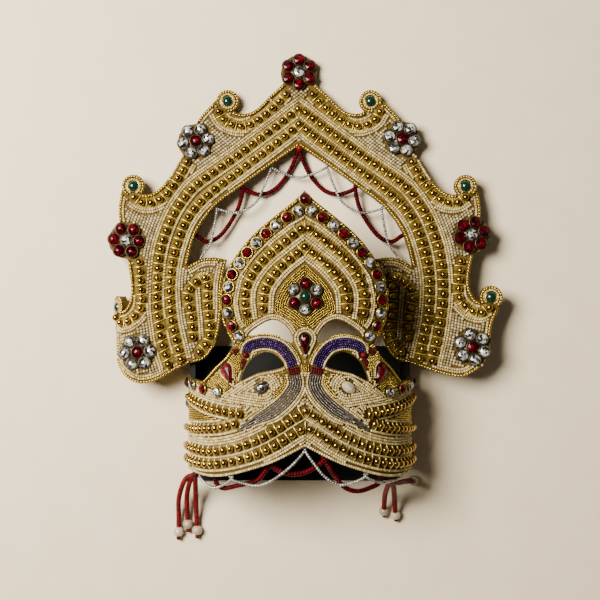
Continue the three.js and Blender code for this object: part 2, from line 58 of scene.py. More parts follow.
# %% [markdown]
# The camera
#
# The crown is seen from almost straight above. The camera hangs over its left half and looks
# straight down, and a small sideways shift brings the crown to the middle of the picture. Tilting
# the camera would also centre it, but then the verticals of the band would lean the other way.

# %% Camera
MM = 0.001
PICTURE = 600
FOCAL_PIXELS = 1315
SENSOR = 36.0
CAMERA_PLACE = Vector((-29, 50, 600)) * MM
AXIS_PIXEL = 234.9

view = bpy.data.cameras.new("camera")
view.sensor_width = SENSOR
view.lens = SENSOR * FOCAL_PIXELS / PICTURE
view.shift_x = (PICTURE / 2 - AXIS_PIXEL) / PICTURE
camera = bpy.data.objects.new("camera", view)
camera.location = CAMERA_PLACE
bpy.context.scene.collection.objects.link(camera)
bpy.context.scene.camera = camera
print("camera lens", round(view.lens, 1), "shift", round(view.shift_x, 4))

# %% [markdown]
# The boards' surfaces
#
# Both boards are flat pattern pieces that were bent afterwards. So every bead is laid out flat, in
# millimetres on the pattern, and a function then carries it to its place in space. The halo leans a
# little and its left lower corner is turned back. The front board wraps round the head, and its
# crest flattens and leans. A third number lifts a bead off the board's face.

# %% The halo's and the front board's surfaces
MIDDLE = 50.0
HALO = dict(thick=3.0, slope=0.102, foot=112.0)
FLAP = dict(line=-73.0, top=9.0, widths=(5.0, 5.0, 9.0), turns=(25.0, 50.0, 72.0))
SAG = dict(depth=3.0, more=1.5, inside=-50.0, across=18.0, above=20.0, below=-30.0, fade=14.0)
BAND = dict(radius=49.0, centre=9.0, leg=9.0, low=-24.0)
CREST = dict(radius=100.0, above=4.0, lean_from=-20.0, lean=math.radians(4.0))
REACH = BAND["radius"] * math.pi / 2 + BAND["leg"]


def ease(t):
    u = np.clip(t, 0, 1)
    return u * u * (3 - 2 * u)


def unit(vectors):
    return vectors / np.linalg.norm(vectors, axis=-1, keepdims=True)


def world(x, y, z):
    return np.stack([x, y + MIDDLE, z], axis=-1) * MM


def sag(x, y):
    deep = SAG["depth"] + SAG["more"] * ease((y - SAG["below"]) / SAG["fade"])
    return y - deep * ease((SAG["above"] - y) / SAG["fade"]) * ease((SAG["inside"] - x) / SAG["across"])


def halo_at(x, y, h, sagged=True):
    x, y, h = np.broadcast_arrays(*(np.asarray(v, float) for v in (x, y, h)))
    y = sag(x, y) if sagged else y
    beyond = FLAP["line"] - x
    bent_x, bent_h = x.copy(), h.copy()
    at_x, at_h, start = FLAP["line"], 0.0, 0.0
    for width, degrees in zip(FLAP["widths"], FLAP["turns"]):
        turn = math.radians(degrees)
        here = (beyond > start) & (y <= FLAP["top"])
        along = beyond - start
        bent_x = np.where(here, at_x - along * math.cos(turn) - h * math.sin(turn), bent_x)
        bent_h = np.where(here, at_h - along * math.sin(turn) + h * math.cos(turn), bent_h)
        at_x -= width * math.cos(turn)
        at_h -= width * math.sin(turn)
        start += width
    back = (HALO["foot"] - y) * HALO["slope"]
    return world(bent_x, y, back + HALO["thick"] + bent_h)


def bend_radius(y):
    """Radius of the front board's bend at a height: tight at the band, wide at the crest."""
    t = ease((y - BAND["low"]) / (CREST["above"] - BAND["low"]))
    return 1 / ((1 - t) / BAND["radius"] + t / CREST["radius"])


def front_at(s, y, h):
    s, y, h = np.broadcast_arrays(*(np.asarray(v, float) for v in (s, y, h)))
    radius = bend_radius(y)
    face = BAND["centre"] + BAND["radius"]
    face = face - np.maximum(0, y - CREST["lean_from"]) * math.tan(CREST["lean"])
    quarter = radius * math.pi / 2
    turn = np.clip(s, -quarter, quarter) / radius
    leg = np.maximum(0, np.abs(s) - quarter)
    x = (radius + h) * np.sin(turn)
    z = face - radius + (radius + h) * np.cos(turn) - leg
    return world(x, y, z)


def lift_of(surface, line, lift):
    """Places and outward directions of a flat line's points on a board."""
    line = np.asarray(line, float)
    place = surface(line[:, 0], line[:, 1], lift)
    out = surface(line[:, 0], line[:, 1], lift + 1.0) - place
    return place, unit(out)


print("halo top", halo_at(0, 107, 0), "band front", front_at(0, -50, 0))

# %% [markdown]
# Lines on the flat pattern
#
# An embroiderer couches beads along drawn lines and then repeats each line beside itself. The same
# few moves are used here: a smooth line through a few points, a line at a distance beside it, even
# spacing along it, the mirrored half, and a cut that keeps only the runs inside or outside a shape.

# %% Line tools
FINE = 0.4
SPAN_POINTS = 12
LOOP_SLACK = 0.15
AXIS_POINTS = 3
NO_LENGTH = 1e-9
NO_HEIGHT = 1e-12


def run_of(line):
    """Distance along a line at each of its points."""
    return np.concatenate([[0], np.cumsum(np.linalg.norm(np.diff(line, axis=0), axis=1))])


def part_way(at, run, values):
    """Values along a line, read at some distances."""
    return np.stack([np.interp(at, run, column) for column in values.T], axis=1)


def evenly(line, step, closed=False):
    """The same line with points one step apart."""
    line = np.asarray(line, float)
    if closed:
        line = np.vstack([line, line[:1]])
    run = run_of(line)
    count = max(1, int(round(run[-1] / step)))
    at = np.linspace(0, run[-1], count + 1)
    return part_way(at[:-1] if closed else at, run, line)


def smooth(points, closed=False):
    """Spline through a few points, sampled finely."""
    p = np.asarray(points, float)
    before, after = (p[-1:], p[:2]) if closed else (2 * p[:1] - p[1:2], 2 * p[-1:] - p[-2:-1])
    q = np.vstack([before, p, after])
    t = np.linspace(0, 1, SPAN_POINTS, endpoint=False)[:, None]
    pieces = []
    for a, b, c, d in zip(q[:-3], q[1:-2], q[2:-1], q[3:]):
        bend = 2 * a - 5 * b + 4 * c - d + t * (3 * (b - c) + d - a)
        pieces.append(b + 0.5 * t * (c - a + t * bend))
    if not closed:
        pieces.append(p[-1:])
    return evenly(np.vstack(pieces), FINE, closed)


def sideways(line):
    """Direction to the left of a line at each of its points."""
    along = np.gradient(line, axis=0)
    along /= np.linalg.norm(along, axis=1, keepdims=True) + NO_LENGTH
    return np.stack([-along[:, 1], along[:, 0]], axis=1)


def away(points, line, every=2):
    """Distance from each point to the nearest of a line's points."""
    near = np.asarray(line)[None, ::every]
    return np.sqrt(((points[:, None] - near) ** 2).sum(-1)).min(1)


def beside(line, distance):
    """The line moved to its left, without the loops that a tight bend makes."""
    moved = line + sideways(line) * distance
    return moved[away(moved, line) > abs(distance) - LOOP_SLACK]


def to_axis(half):
    """A half line that starts on the middle line x = 0, cut or lengthened to reach it."""
    right = half[half[:, 0] > 0]
    step = right[0] - right[AXIS_POINTS]
    reach = right[0] - step * right[0, 0] / step[0]
    return np.vstack([reach, right])


def flipped(line):
    return np.asarray(line) * [-1, 1]


def whole(half):
    """A half line with its mirror image, as one line from left to right."""
    return np.vstack([flipped(half)[:0:-1], half])


def inside(points, outline):
    """Which points lie inside a closed outline."""
    x, y = points[:, 0:1], points[:, 1:2]
    a, b = outline, np.roll(outline, -1, axis=0)
    spans = (a[:, 1] > y) != (b[:, 1] > y)
    cross = (b[:, 0] - a[:, 0]) * (y - a[:, 1]) / (b[:, 1] - a[:, 1] + NO_HEIGHT) + a[:, 0]
    return ((x < cross) & spans).sum(1) % 2 == 1


def runs(line, keep, least=3):
    """The stretches of a line whose points are kept."""
    found, run = [], []
    for point, kept in zip(line, keep):
        if kept:
            run.append(point)
        elif run:
            found.append(run)
            run = []
    found.append(run)
    return [np.array(r) for r in found if len(r) >= least]


print("line tools ready, sampled every", FINE, "mm")

# %% [markdown]
# Shader maths
#
# A finish is a small formula: a colour that drifts from bead to bead, a roughness that follows dust,
# a bump that follows a weave. Wiring nodes by hand hides the formula, so one small class wraps a
# socket and lets Python's own operators add the nodes. Beads carry a number of their own, the
# attribute "tone", so that neighbours on one string differ a little. On cut stones the tone also
# carries painted reflections and painted shade, and on the channel wires painted shade.

# %% Finish: a socket with operators
class Wire:
    """A socket of a material, with arithmetic."""

    def __init__(self, tree, socket):
        self.tree = tree
        self.socket = socket

    def node(self, kind, settings=None, output=0, **inputs):
        made = self.tree.nodes.new(kind)
        for name, value in (settings or {}).items():
            if name == "stops":
                ramp_stops(made, value)
            else:
                setattr(made, name, value)
        for name, value in inputs.items():
            key = int(name[1:]) if name[1:].isdigit() else name.replace("_", " ")
            target = made.inputs[key]
            if isinstance(value, Wire):
                self.tree.links.new(value.socket, target)
            else:
                target.default_value = value
        return Wire(self.tree, made.outputs[output])

    def maths(self, operation, a, b):
        return self.node("ShaderNodeMath", {"operation": operation}, i0=a, i1=b)

    def __add__(self, other):
        return self.maths("ADD", self, other)

    def __mul__(self, other):
        return self.maths("MULTIPLY", self, other)

    def __sub__(self, other):
        return self.maths("SUBTRACT", self, other)

    def __rsub__(self, other):
        return self.maths("SUBTRACT", other, self)

    def __lt__(self, other):
        return self.maths("LESS_THAN", self, other)

    def __gt__(self, other):
        return self.maths("GREATER_THAN", self, other)

    __radd__ = __add__
    __rmul__ = __mul__


def ramp_stops(node, stops):
    ramp = node.color_ramp
    while len(ramp.elements) < len(stops):
        ramp.elements.new(1.0)
    for element, (place, colour) in zip(ramp.elements, stops):
        element.position = place
        element.color = (*colour, 1.0)


MOTTLE_DETAIL = 3.0
ROUGH_SWING = 0.16
COAT_ROUGH = 0.06
RELIEF = 0.0003


def finish(name, stops, rough, metal=0.0, coat=0.0, dust=0.35, scale=900.0, bump=0.0, specular=0.5,
           where=None):
    """A finish whose colour runs through the stops by each bead's tone and a fine mottle."""
    material = bpy.data.materials.new(name)
    material.use_nodes = True
    tree = material.node_tree
    sockets = tree.nodes["Principled BSDF"].inputs
    sockets["Metallic"].default_value = metal
    sockets["Coat Weight"].default_value = coat
    sockets["Coat Roughness"].default_value = COAT_ROUGH
    sockets["Specular IOR Level"].default_value = specular
    start = Wire(tree, None)
    tone = start.node("ShaderNodeAttribute", {"attribute_name": "tone"}, output="Fac")
    place = start.node("ShaderNodeTexCoord", output="Object")
    mottle = start.node("ShaderNodeTexNoise", Vector=place, Scale=scale, Detail=MOTTLE_DETAIL)
    mixed = tone * (1 - dust) + mottle * dust
    if where:
        mask = where(start, place)
        mixed = mixed * mask
        tree.links.new((mask * metal).socket, sockets["Metallic"])
    colour = start.node("ShaderNodeValToRGB", {"stops": stops}, Fac=mixed)
    tree.links.new(colour.socket, sockets["Base Color"])
    roughness = mottle * ROUGH_SWING + (rough - ROUGH_SWING / 2)
    tree.links.new(roughness.socket, sockets["Roughness"])
    if bump:
        relief = start.node("ShaderNodeBump", Strength=bump, Distance=RELIEF, Height=mottle)
        tree.links.new(relief.socket, sockets["Normal"])
    return material


print("a finish mixes each bead's tone with a mottle")

# %% [markdown]
# Finishes
#
# The crown has few materials, used again and again: ivory seed beads, polished gold beads, gold purl
# wire, foil-backed glass stones in red, clear and green, violet and red glass seeds, grey purl,
# pearls, and dark lining cloth. A cut stone sparkles because each facet throws back another part of
# the room, and foil behind the glass does that inside the stone. Here that is painted: each facet has
# a painted tone of its own, a painted reflection, darker towards the rim as painted shade.

# %% Bead, wire and stone finishes
IVORY_STOPS = [(0.1, (0.27, 0.19, 0.066)), (0.5, (0.47, 0.363, 0.152)), (0.9, (0.72, 0.6, 0.318))]
IVORY = finish("ivory_seed", IVORY_STOPS, 0.26, coat=0.2)
FIELD_STOPS = [(0.1, (0.18, 0.131, 0.054)), (0.5, (0.335, 0.262, 0.134)), (0.9, (0.56, 0.47, 0.275))]
IVORY_FIELD = finish("ivory_field", FIELD_STOPS, 0.3, coat=0.2)
GOLD_BEAD_STOPS = [(0.2, (0.28, 0.175, 0.032)), (0.8, (0.52, 0.35, 0.085))]
GOLD_BEAD = finish("gold_bead", GOLD_BEAD_STOPS, 0.17, metal=1.0, dust=0.25)
GOLD_WIRE_STOPS = [(0.2, (0.22, 0.14, 0.018)), (0.5, (0.47, 0.335, 0.06)), (0.9, (0.86, 0.72, 0.26))]
GOLD_WIRE = finish("gold_wire", GOLD_WIRE_STOPS, 0.27, metal=0.95, dust=0.5)
RUNG_STOPS = [(0.2, (0.52, 0.38, 0.06)), (0.8, (0.9, 0.72, 0.2))]
GOLD_RUNG = finish("gold_rung", RUNG_STOPS, 0.3, metal=0.7, dust=0.2)
CHANNEL_STOPS = [(0.1, (0.04, 0.026, 0.003)), (0.5, (0.21, 0.145, 0.016)), (0.95, (0.64, 0.475, 0.088))]
CHANNEL = finish("channel_wire", CHANNEL_STOPS, 0.4, metal=0.5, dust=0.2)
# Painted shade: a darker copy of the channel wire, for the rows on the band.
SHADE_STOPS = [(0.1, (0.018, 0.011, 0.002)), (0.5, (0.08, 0.053, 0.008)), (0.95, (0.34, 0.245, 0.048))]
SHADED_CHANNEL = finish("shaded_band_channel", SHADE_STOPS, 0.4, metal=0.5, dust=0.2)
GREY_STOPS = [(0.2, (0.03, 0.025, 0.023)), (0.5, (0.15, 0.13, 0.118)), (0.9, (0.7, 0.65, 0.6))]
GREY_WIRE = finish("grey_purl", GREY_STOPS, 0.28, metal=0.7, dust=0.5)
SILVER_STOPS = [(0.2, (0.21, 0.21, 0.205)), (0.8, (0.5, 0.5, 0.49))]
SILVER_SEED = finish("silver_seed", SILVER_STOPS, 0.28, metal=0.75)
RED_SEED_STOPS = [(0.1, (0.03, 0.0, 0.002)), (0.6, (0.06, 0.001, 0.003)), (0.95, (0.11, 0.002, 0.005))]
RED_SEED = finish("red_seed", RED_SEED_STOPS, 0.45, specular=0.15)
STRING_STOPS = [(0.2, (0.024, 0.0, 0.001)), (0.8, (0.075, 0.0, 0.004))]
RED_STRING = finish("red_string", STRING_STOPS, 0.4, specular=0.06)
TASSEL_STOPS = [(0.2, (0.08, 0.001, 0.003)), (0.8, (0.17, 0.002, 0.005))]
TASSEL_SEED = finish("tassel_seed", TASSEL_STOPS, 0.45, specular=0.15)
VIOLET_STOPS = [(0.15, (0.005, 0.001, 0.016)), (0.65, (0.016, 0.002, 0.05)), (0.95, (0.11, 0.035, 0.28))]
VIOLET_SEED = finish("violet_seed", VIOLET_STOPS, 0.22, coat=0.1, specular=0.3)
# The stone stops run from near black to near white: with the facet tones they paint the stones' reflections
# and their darker rims.
RED_STONE_STOPS = [(0.1, (0.003, 0.0, 0.001)), (0.6, (0.04, 0.0, 0.003)), (0.97, (0.22, 0.001, 0.008))]
RED_STONE = finish("red_stone", RED_STONE_STOPS, 0.1, dust=0.06, specular=0.15)
# Painted light: a brighter copy of the red stone for the left leaf's drop; the right drop and the centre one
# keep the darker red.
LIT_DROP_STOPS = [(0.1, (0.012, 0.0, 0.001)), (0.5, (0.07, 0.0, 0.003)), (0.97, (0.36, 0.006, 0.012))]
LIT_RED_DROP = finish("lit_red_drop", LIT_DROP_STOPS, 0.3, dust=0.06, specular=0.25)
CLEAR_STOPS = [(0.2, (0.008, 0.008, 0.009)), (0.42, (0.07, 0.07, 0.072)), (0.62, (0.36, 0.36, 0.36)),
               (0.9, (0.88, 0.87, 0.84))]
CLEAR_STONE = finish("clear_stone", CLEAR_STOPS, 0.1, metal=0.15, coat=0.15, dust=0.06)
# Painted reflection: the clear oval on the right bird is coloured pale, as if the ivory round it were
# mirrored in the glass.
PALE_REFLECTION_STOPS = [(0.2, (0.3, 0.26, 0.17)), (0.8, (0.6, 0.55, 0.43))]
REFLECTING_STONE = finish("reflecting_stone", PALE_REFLECTION_STOPS, 0.12, coat=0.4, dust=0.06)
GREEN_STOPS = [(0.1, (0.0, 0.005, 0.003)), (0.6, (0.001, 0.022, 0.014)), (0.95, (0.004, 0.08, 0.05))]
GREEN_STONE = finish("green_stone", GREEN_STOPS, 0.1, coat=0.5, dust=0.08)
PEARL_STOPS = [(0.2, (0.34, 0.28, 0.2)), (0.8, (0.5, 0.43, 0.325))]
PEARL = finish("pearl", PEARL_STOPS, 0.2, coat=0.6)
SETTING_STOPS = [(0.2, (0.02, 0.014, 0.006)), (0.8, (0.1, 0.07, 0.028))]
DARK_SETTING = finish("dark_setting", SETTING_STOPS, 0.35, metal=0.8)
CLOTH_STOPS = [(0.2, (0.055, 0.032, 0.005)), (0.8, (0.17, 0.108, 0.02))]
CLOTH_LOOK = dict(rough=0.6, metal=0.35, dust=0.8, scale=1600.0, bump=0.6, specular=0.15)
BOARD_CLOTH = finish("board_cloth", CLOTH_STOPS, **CLOTH_LOOK)
LINING_STOPS = [(0.2, (0.004, 0.0045, 0.004)), (0.8, (0.014, 0.016, 0.013))]
LINING = finish("lining", LINING_STOPS, 0.85, dust=0.9, scale=2200.0, bump=0.8, specular=0.2)
print("finishes:", len(bpy.data.materials))

# %% [markdown]
# Sewing thousands of beads
#
# One bead is modelled once, with a bmesh operator, and then repeated over a list of places into one
# joined mesh. Separate objects would be slow, and an instance could not have a tone of its own. Cords
# and wires are curves with a round section, turned into mesh and joined to the same batch.

# %% Batches of beads and strands
chance = np.random.default_rng(11)
TALLY = {}


def arrays_of(bm):
    """A bmesh as arrays of places, corners and corner counts."""
    bm.verts.index_update()
    places = np.array([v.co[:] for v in bm.verts])
    corners = np.array([v.index for f in bm.faces for v in f.verts])
    counts = np.array([len(f.verts) for f in bm.faces])
    bm.free()
    return places, corners, counts


def ball(sides, rings):
    bm = bmesh.new()
    bmesh.ops.create_uvsphere(bm, u_segments=sides, v_segments=rings, radius=1.0)
    return arrays_of(bm)


SEED = ball(8, 4)
BEAD = ball(12, 8)
# Painted shade on cut stones: the rim facets keep this share of the painted light, which falls off from the
# table outwards.
FACET_RIM_SHADE = 0.45
FACET_SHADE_FALL = 1.5
STRAND_TONE = 0.3
STRAND_SPREAD = 0.4


def read(items, name, width=1, kind=int):
    """One property of a mesh's points, corners or faces, as an array."""
    values = np.zeros(len(items) * width, kind)
    items.foreach_get(name, values)
    return values


class Batch:
    """Many small shapes that end up as one mesh with a few materials."""

    def __init__(self):
        self.parts = []
        self.materials = []
        self.size = 0

    def add(self, places, corners, counts, material, tone, soft=True):
        if material not in self.materials:
            self.materials.append(material)
        finishes = np.full(len(counts), self.materials.index(material))
        self.parts.append((places, corners + self.size, counts, tone, finishes, np.full(len(counts), soft)))
        self.size += len(places)

    def copies(self, shape, places, size, material, turns=None, facets=False, tones=None):
        """A shape repeated at many places. A cut stone has a painted tone for each facet, a painted
        reflection, with painted shade darker at the rim.
        """
        points, corners, counts = shape
        places = np.atleast_2d(places)
        many = len(places)
        local = points * np.asarray(size)
        if turns is None:
            laid = places[:, None] + local[None]
        else:
            laid = places[:, None] + np.einsum("mij,nj->mni", turns, local)
        shift = (np.arange(many) * len(points))[:, None]
        # Painted reflections: each facet gets a random tone, times a painted shade that falls from the table
        # to the rim.
        if facets:
            face = np.repeat(np.arange(len(counts)), counts)
            owner = np.zeros(len(points), int)
            owner[corners] = face
            reach = np.hypot(*points[:, :2].T)
            out = np.bincount(face, (reach / reach.max())[corners]) / counts
            light = FACET_RIM_SHADE + (1 - FACET_RIM_SHADE) * np.clip(FACET_SHADE_FALL - FACET_SHADE_FALL * out, 0, 1)
            tone = (chance.random((many, len(counts))) * light)[:, owner]
        else:
            own = chance.random(many) if tones is None else np.asarray(tones)
            tone = np.repeat(own[:, None], len(points), axis=1)
        self.add(laid.reshape(-1, 3), (corners[None] + shift).ravel(), np.tile(counts, many),
                 material, tone.ravel(), not facets)

    def strands(self, paths, radius, material, roundness=1):
        """Round wires along paths in space."""
        curve = bpy.data.curves.new("strand", "CURVE")
        curve.dimensions = "3D"
        curve.bevel_depth = radius
        curve.bevel_resolution = roundness
        curve.use_fill_caps = True
        for path in paths:
            spline = curve.splines.new("POLY")
            spline.points.add(len(path) - 1)
            spline.points.foreach_set("co", np.hstack([path, np.ones((len(path), 1))]).ravel())
        holder = bpy.data.objects.new("strand", curve)
        bpy.context.scene.collection.objects.link(holder)
        solid = holder.evaluated_get(bpy.context.evaluated_depsgraph_get())
        mesh = bpy.data.meshes.new_from_object(solid)
        points = read(mesh.vertices, "co", 3, float).reshape(-1, 3)
        corners = read(mesh.loops, "vertex_index")
        counts = read(mesh.polygons, "loop_total")
        bpy.data.objects.remove(holder)
        bpy.data.curves.remove(curve)
        bpy.data.meshes.remove(mesh)
        tone = STRAND_TONE + STRAND_SPREAD * chance.random(len(points))
        self.add(points, corners, counts, material, tone)

    def piece(self, name, slot, *nodes):
        """The finished piece: one mesh that rides on the crown and stands for the given solids."""
        places, corners, counts, tones, finishes, soft = (np.concatenate(p) for p in zip(*self.parts))
        mesh = bpy.data.meshes.new(name)
        mesh.vertices.add(len(places))
        mesh.vertices.foreach_set("co", places.ravel())
        mesh.loops.add(len(corners))
        mesh.loops.foreach_set("vertex_index", corners)
        mesh.polygons.add(len(counts))
        mesh.polygons.foreach_set("loop_start", np.concatenate([[0], np.cumsum(counts)[:-1]]))
        mesh.polygons.foreach_set("material_index", finishes)
        mesh.polygons.foreach_set("use_smooth", soft)
        tone = mesh.attributes.new("tone", "FLOAT", "POINT")
        tone.data.foreach_set("value", tones.astype(np.float32))
        for material in self.materials:
            mesh.materials.append(material)
        mesh.update(calc_edges=True)
        mesh.validate()
        made = bpy.data.objects.new(name, mesh)
        bpy.context.scene.collection.objects.link(made)
        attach(made, "root")
        if nodes:
            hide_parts(*nodes)
        TALLY[name] = int((counts - 2).sum())


print("seed:", len(SEED[2]), "faces, bead:", len(BEAD[2]), "faces")

# %% [markdown]
# The boards
#
# Underneath everything lie stiff boards covered in dull gold cloth, which shows only in the gaps
# between beads and along the cut edges. The inside of the ring is dark lining. The solids already
# have the right shape, so they stay, and only get a woven finish.

# %% Boards and lining
def dress(node, material):
    slots = frame["nodes"][node].data.materials
    slots.clear()
    slots.append(material)


LINED_RADIUS = 0.0482
LINED_BELOW = 0.026
TAB_ABOVE = 0.0156
TAB_UNDER = 0.02


def outer_face(start, place):
    """One on the outer face of the front board, nought inside its ring and on its tucked-in tabs."""
    x, y, z = (start.node("ShaderNodeSeparateXYZ", output=axis, Vector=place) for axis in "XYZ")
    up = z - BAND["centre"] * MM
    within = ((x * x + up * up) < LINED_RADIUS ** 2) * (y < LINED_BELOW)
    tab = (y > TAB_ABOVE) * (z < TAB_UNDER)
    return (1 - within) * (1 - tab)


EDGE_OF_LINING = 0.05
LINED_STOPS = [(0.0, LINING_STOPS[0][1]), (EDGE_OF_LINING, LINING_STOPS[1][1]), *CLOTH_STOPS]
LINED_CLOTH = finish("lined_cloth", LINED_STOPS, where=outer_face, **CLOTH_LOOK)
dress("halo_board", BOARD_CLOTH)
dress("front_board", LINED_CLOTH)
dress("back_panel", LINING)
print("boards dressed")

# %% [markdown]
# The drawn pattern of the halo
#
# These are the few points that the pattern needs, for the right half: the outline by stretches, the
# bead rows, and the places of scrolls and flowers. The left half is the mirror image.

# %% The halo's pattern
HALO_EDGE = dict(
    scallop1=[(0, 107), (7.3, 97.9), (13.2, 92.4), (18.6, 86.8), (23.1, 84.4), (28, 84.4), (31, 87)],
    shoulder1=[(36.8, 91.2), (41.5, 86.3), (45.2, 81.9), (48.5, 75)],
    scallop2=[(51.4, 66.8), (57.1, 57.2), (62, 50.9), (66.5, 47.8), (70, 47.4), (73, 49)],
    shoulder2=[(79.4, 50.5), (80.6, 45.7), (81.2, 39.1), (80, 31)],
    scallop3=[(77.5, 21), (76.3, 15.2), (75.4, 10.3), (75.7, 4.9), (78.3, 0.2), (82, -1)],
    shoulder3=[(89.3, -2.2), (87, -6.5), (85.3, -10.5), (84.5, -16), (84.4, -21)],
    lobe=[(84.2, -21.5), (81.9, -27.2), (76.7, -31.8), (70.7, -34), (62.3, -32.6), (55.2, -30.2), (49, -28)],
    wing=[(48.9, -27.9), (43, -26.4), (38.8, -21.6), (36.2, -14.4), (35.1, -6), (35, 4.9), (33.9, 12.5),
          (32.4, 18)],
    wing_top=[(32.4, 18), (38.3, 19), (44.1, 18.4), (50.4, 15)],
    arch=[(50.4, 15), (46.5, 29.5), (38, 41.8), (25.5, 51.5), (12.9, 60.7), (0, 69.5)],
)
SCROLLS = dict(upper=(32.3, 89.9), middle=(74.6, 51.2), lower=(85.1, 1.3))
FLOWERS = dict(
    top=(0, 103, 90, "white"), upper_left=(-46.6, 71.4, 70, "red"), upper_right=(46.3, 72.6, 50, "red"),
    middle_left=(-77.4, 26.6, 55, "white"), middle_right=(77, 29.1, 75, "white"),
    lower_left=(-72.2, -23.2, 65, "red"), lower_right=(76.2, -21, 100, "red"),
)
ARCH_ROWS = dict(
    outer=[(0, 86.6), (3.6, 83.9), (10.8, 78.2), (18, 72.8), (27.9, 65.2), (35.5, 59.8), (46.3, 52),
           (51.1, 46.8), (56.2, 39.1), (59.5, 31.4), (62.1, 22.9), (63.6, 12.5), (63.7, 1.3), (62.7, -7.1),
           (61.3, -15.6), (58.4, -27)],
    inner=[(0, 79.4), (3.6, 76.2), (10.3, 70.9), (17.1, 65.7), (24.7, 60), (38.6, 49.3), (46.1, 42.3),
           (51.3, 34.5), (54.5, 26), (56.8, 17), (57.9, 8), (57.6, -1), (56.6, -9.5), (54.9, -17.4),
           (52.8, -26)],
)
SCALLOP_ROWS = dict(
    upper=[(6.2, 92.9), (11, 87.6), (15.6, 83.6), (20.8, 79.9), (26.2, 78.3), (31.2, 79.4), (34.4, 81.6),
           (36.4, 85)],
    middle=[(50.5, 62), (54.2, 55.4), (58.6, 49), (62.8, 45.1), (66.9, 43.5), (70.9, 43.8), (74.3, 46)],
    lower=[(71.7, 17.3), (71, 11), (70.5, 5.5), (71, 1), (73, -2.2), (76.5, -4.9), (80.4, -5.6), (84, -3.4)],
)
WING_ROW = [(47.6, -16.5), (47.7, -11.2), (48.6, -5), (50, 0.5), (49.6, 4.2), (46, 8.4), (42.8, 10), (41, 8),
            (41.2, 2), (40.8, -6), (40, -13), (41.4, -18.8), (44.8, -23)]

halo_edges = {name: smooth(points) for name, points in HALO_EDGE.items()}
halo_outline = np.vstack(list(halo_edges.values()))
print("halo outline points:", len(halo_outline))

# %% [markdown]
# Rows of gold beads
#
# The widest ornament is a ladder: a channel of gold wires laid side by side, a row of polished gold
# beads on it, and one raised wire across each gap. The solids hold each row's place as a plain
# tube. Here each tube gives way to the beads that it stands for.

# %% Gold bead rows on the halo
BEAD_RADIUS = 1.62
BEAD_PITCH = 4.35
BEAD_LIFT = 1.6
ROW_HALF = 2.3
RUNG = 0.27
RUNG_HALF = 2.45
RUNG_BOW = [(-RUNG_HALF, 0.3), (-1.4, 0.95), (1.4, 0.95), (RUNG_HALF, 0.3)]
CHANNEL_BOW = [(-RUNG_HALF, -0.2), (-RUNG_HALF, 0.5), (0, 1), (RUNG_HALF, 0.5), (RUNG_HALF, -0.2)]
WIRE_STEP = 0.3
# Painted shade: the lower wire of each pair is darker, the raised one lighter; a random spread comes on top.
WIRE_SHADE_TONES = np.array([0.0, 0.45])
WIRE_SPREAD = 0.4
WIRE_HEIGHTS = np.array([0.16, 0.42])


def wire_ground(batch, surface, line, look):
    """Gold wires laid side by side across a row's channel, as one ribbed strip, the lower wires painted
    darker as shade.
    """
    line = evenly(line, WIRE_STEP)
    side = sideways(line)
    odd = np.arange(len(line)) % 2
    rows = [surface(*(line + side * across).T, WIRE_HEIGHTS[odd] * share) for across, share in CHANNEL_BOW]
    many = len(CHANNEL_BOW)
    step = np.arange(len(line) - 1)[:, None] * many
    here = np.arange(many)
    after = (here + 1) % many
    quads = np.stack([step + here, step + many + here, step + many + after, step + after], axis=-1)
    ends = np.concatenate([here, here[::-1] + many * (len(line) - 1)])
    corners = np.concatenate([quads.ravel(), ends])
    counts = np.concatenate([np.full(quads.size // 4, 4), [many, many]])
    tone = np.repeat(WIRE_SHADE_TONES[odd] + WIRE_SPREAD * chance.random(len(line)), many)
    batch.add(np.stack(rows, axis=1).reshape(-1, 3), corners, counts, look, tone, soft=False)


def bead_row(node, surface, line, pitch=BEAD_PITCH, look=CHANNEL):
    """Beads and rungs, evenly spaced along a line as it lies on the bent board."""
    batch = Batch()
    laid, _ = lift_of(surface, line, 0.0)
    run = run_of(laid) / MM
    count = int(round(run[-1] / pitch))
    pitches = np.arange(count + 1) * run[-1] / count
    place, _ = lift_of(surface, part_way(pitches, run, line), BEAD_LIFT)
    batch.copies(BEAD, place, BEAD_RADIUS * MM, GOLD_BEAD)
    gaps = (np.arange(count) + 0.5) * run[-1] / count
    rungs = []
    for spot, across in zip(part_way(gaps, run, line), part_way(gaps, run, sideways(line))):
        ends = [(*(spot + across * reach), height) for reach, height in RUNG_BOW]
        rungs.append(np.vstack([surface(*end) for end in ends]))
    batch.strands(rungs, RUNG * MM, GOLD_RUNG, roundness=0)
    wire_ground(batch, surface, line, look)
    batch.piece(node + "_beads", "gold_bead", node)


def row_pair(node, surface, line, pitch=BEAD_PITCH, look=CHANNEL):
    """The same row on the right and on the left."""
    bead_row(node + "_right", surface, line, pitch, look)
    bead_row(node + "_left", surface, flipped(line), pitch, look)


arch_lines = {name: smooth(points) for name, points in ARCH_ROWS.items()}
scallop_lines = {name: smooth(points) for name, points in SCALLOP_ROWS.items()}
wing_line = smooth(WING_ROW)
for name, line in arch_lines.items():
    bead_row("arch_row_" + name, halo_at, whole(line))
for name, line in scallop_lines.items():
    row_pair("scallop_row_" + name, halo_at, line)
row_pair("wing_row", halo_at, wing_line)
print("bead rows:", len(TALLY), "triangles:", sum(TALLY.values()))

# %% [markdown]
# Seed-bead piping and fields
#
# Ivory seed beads edge every row in pairs of lines and fill the ground between them. Two beads never
# share a place, so a small class keeps what is already sewn on one side of a board and lets a new
# line through only where the ground is still free. Edges come first, then the open fields.

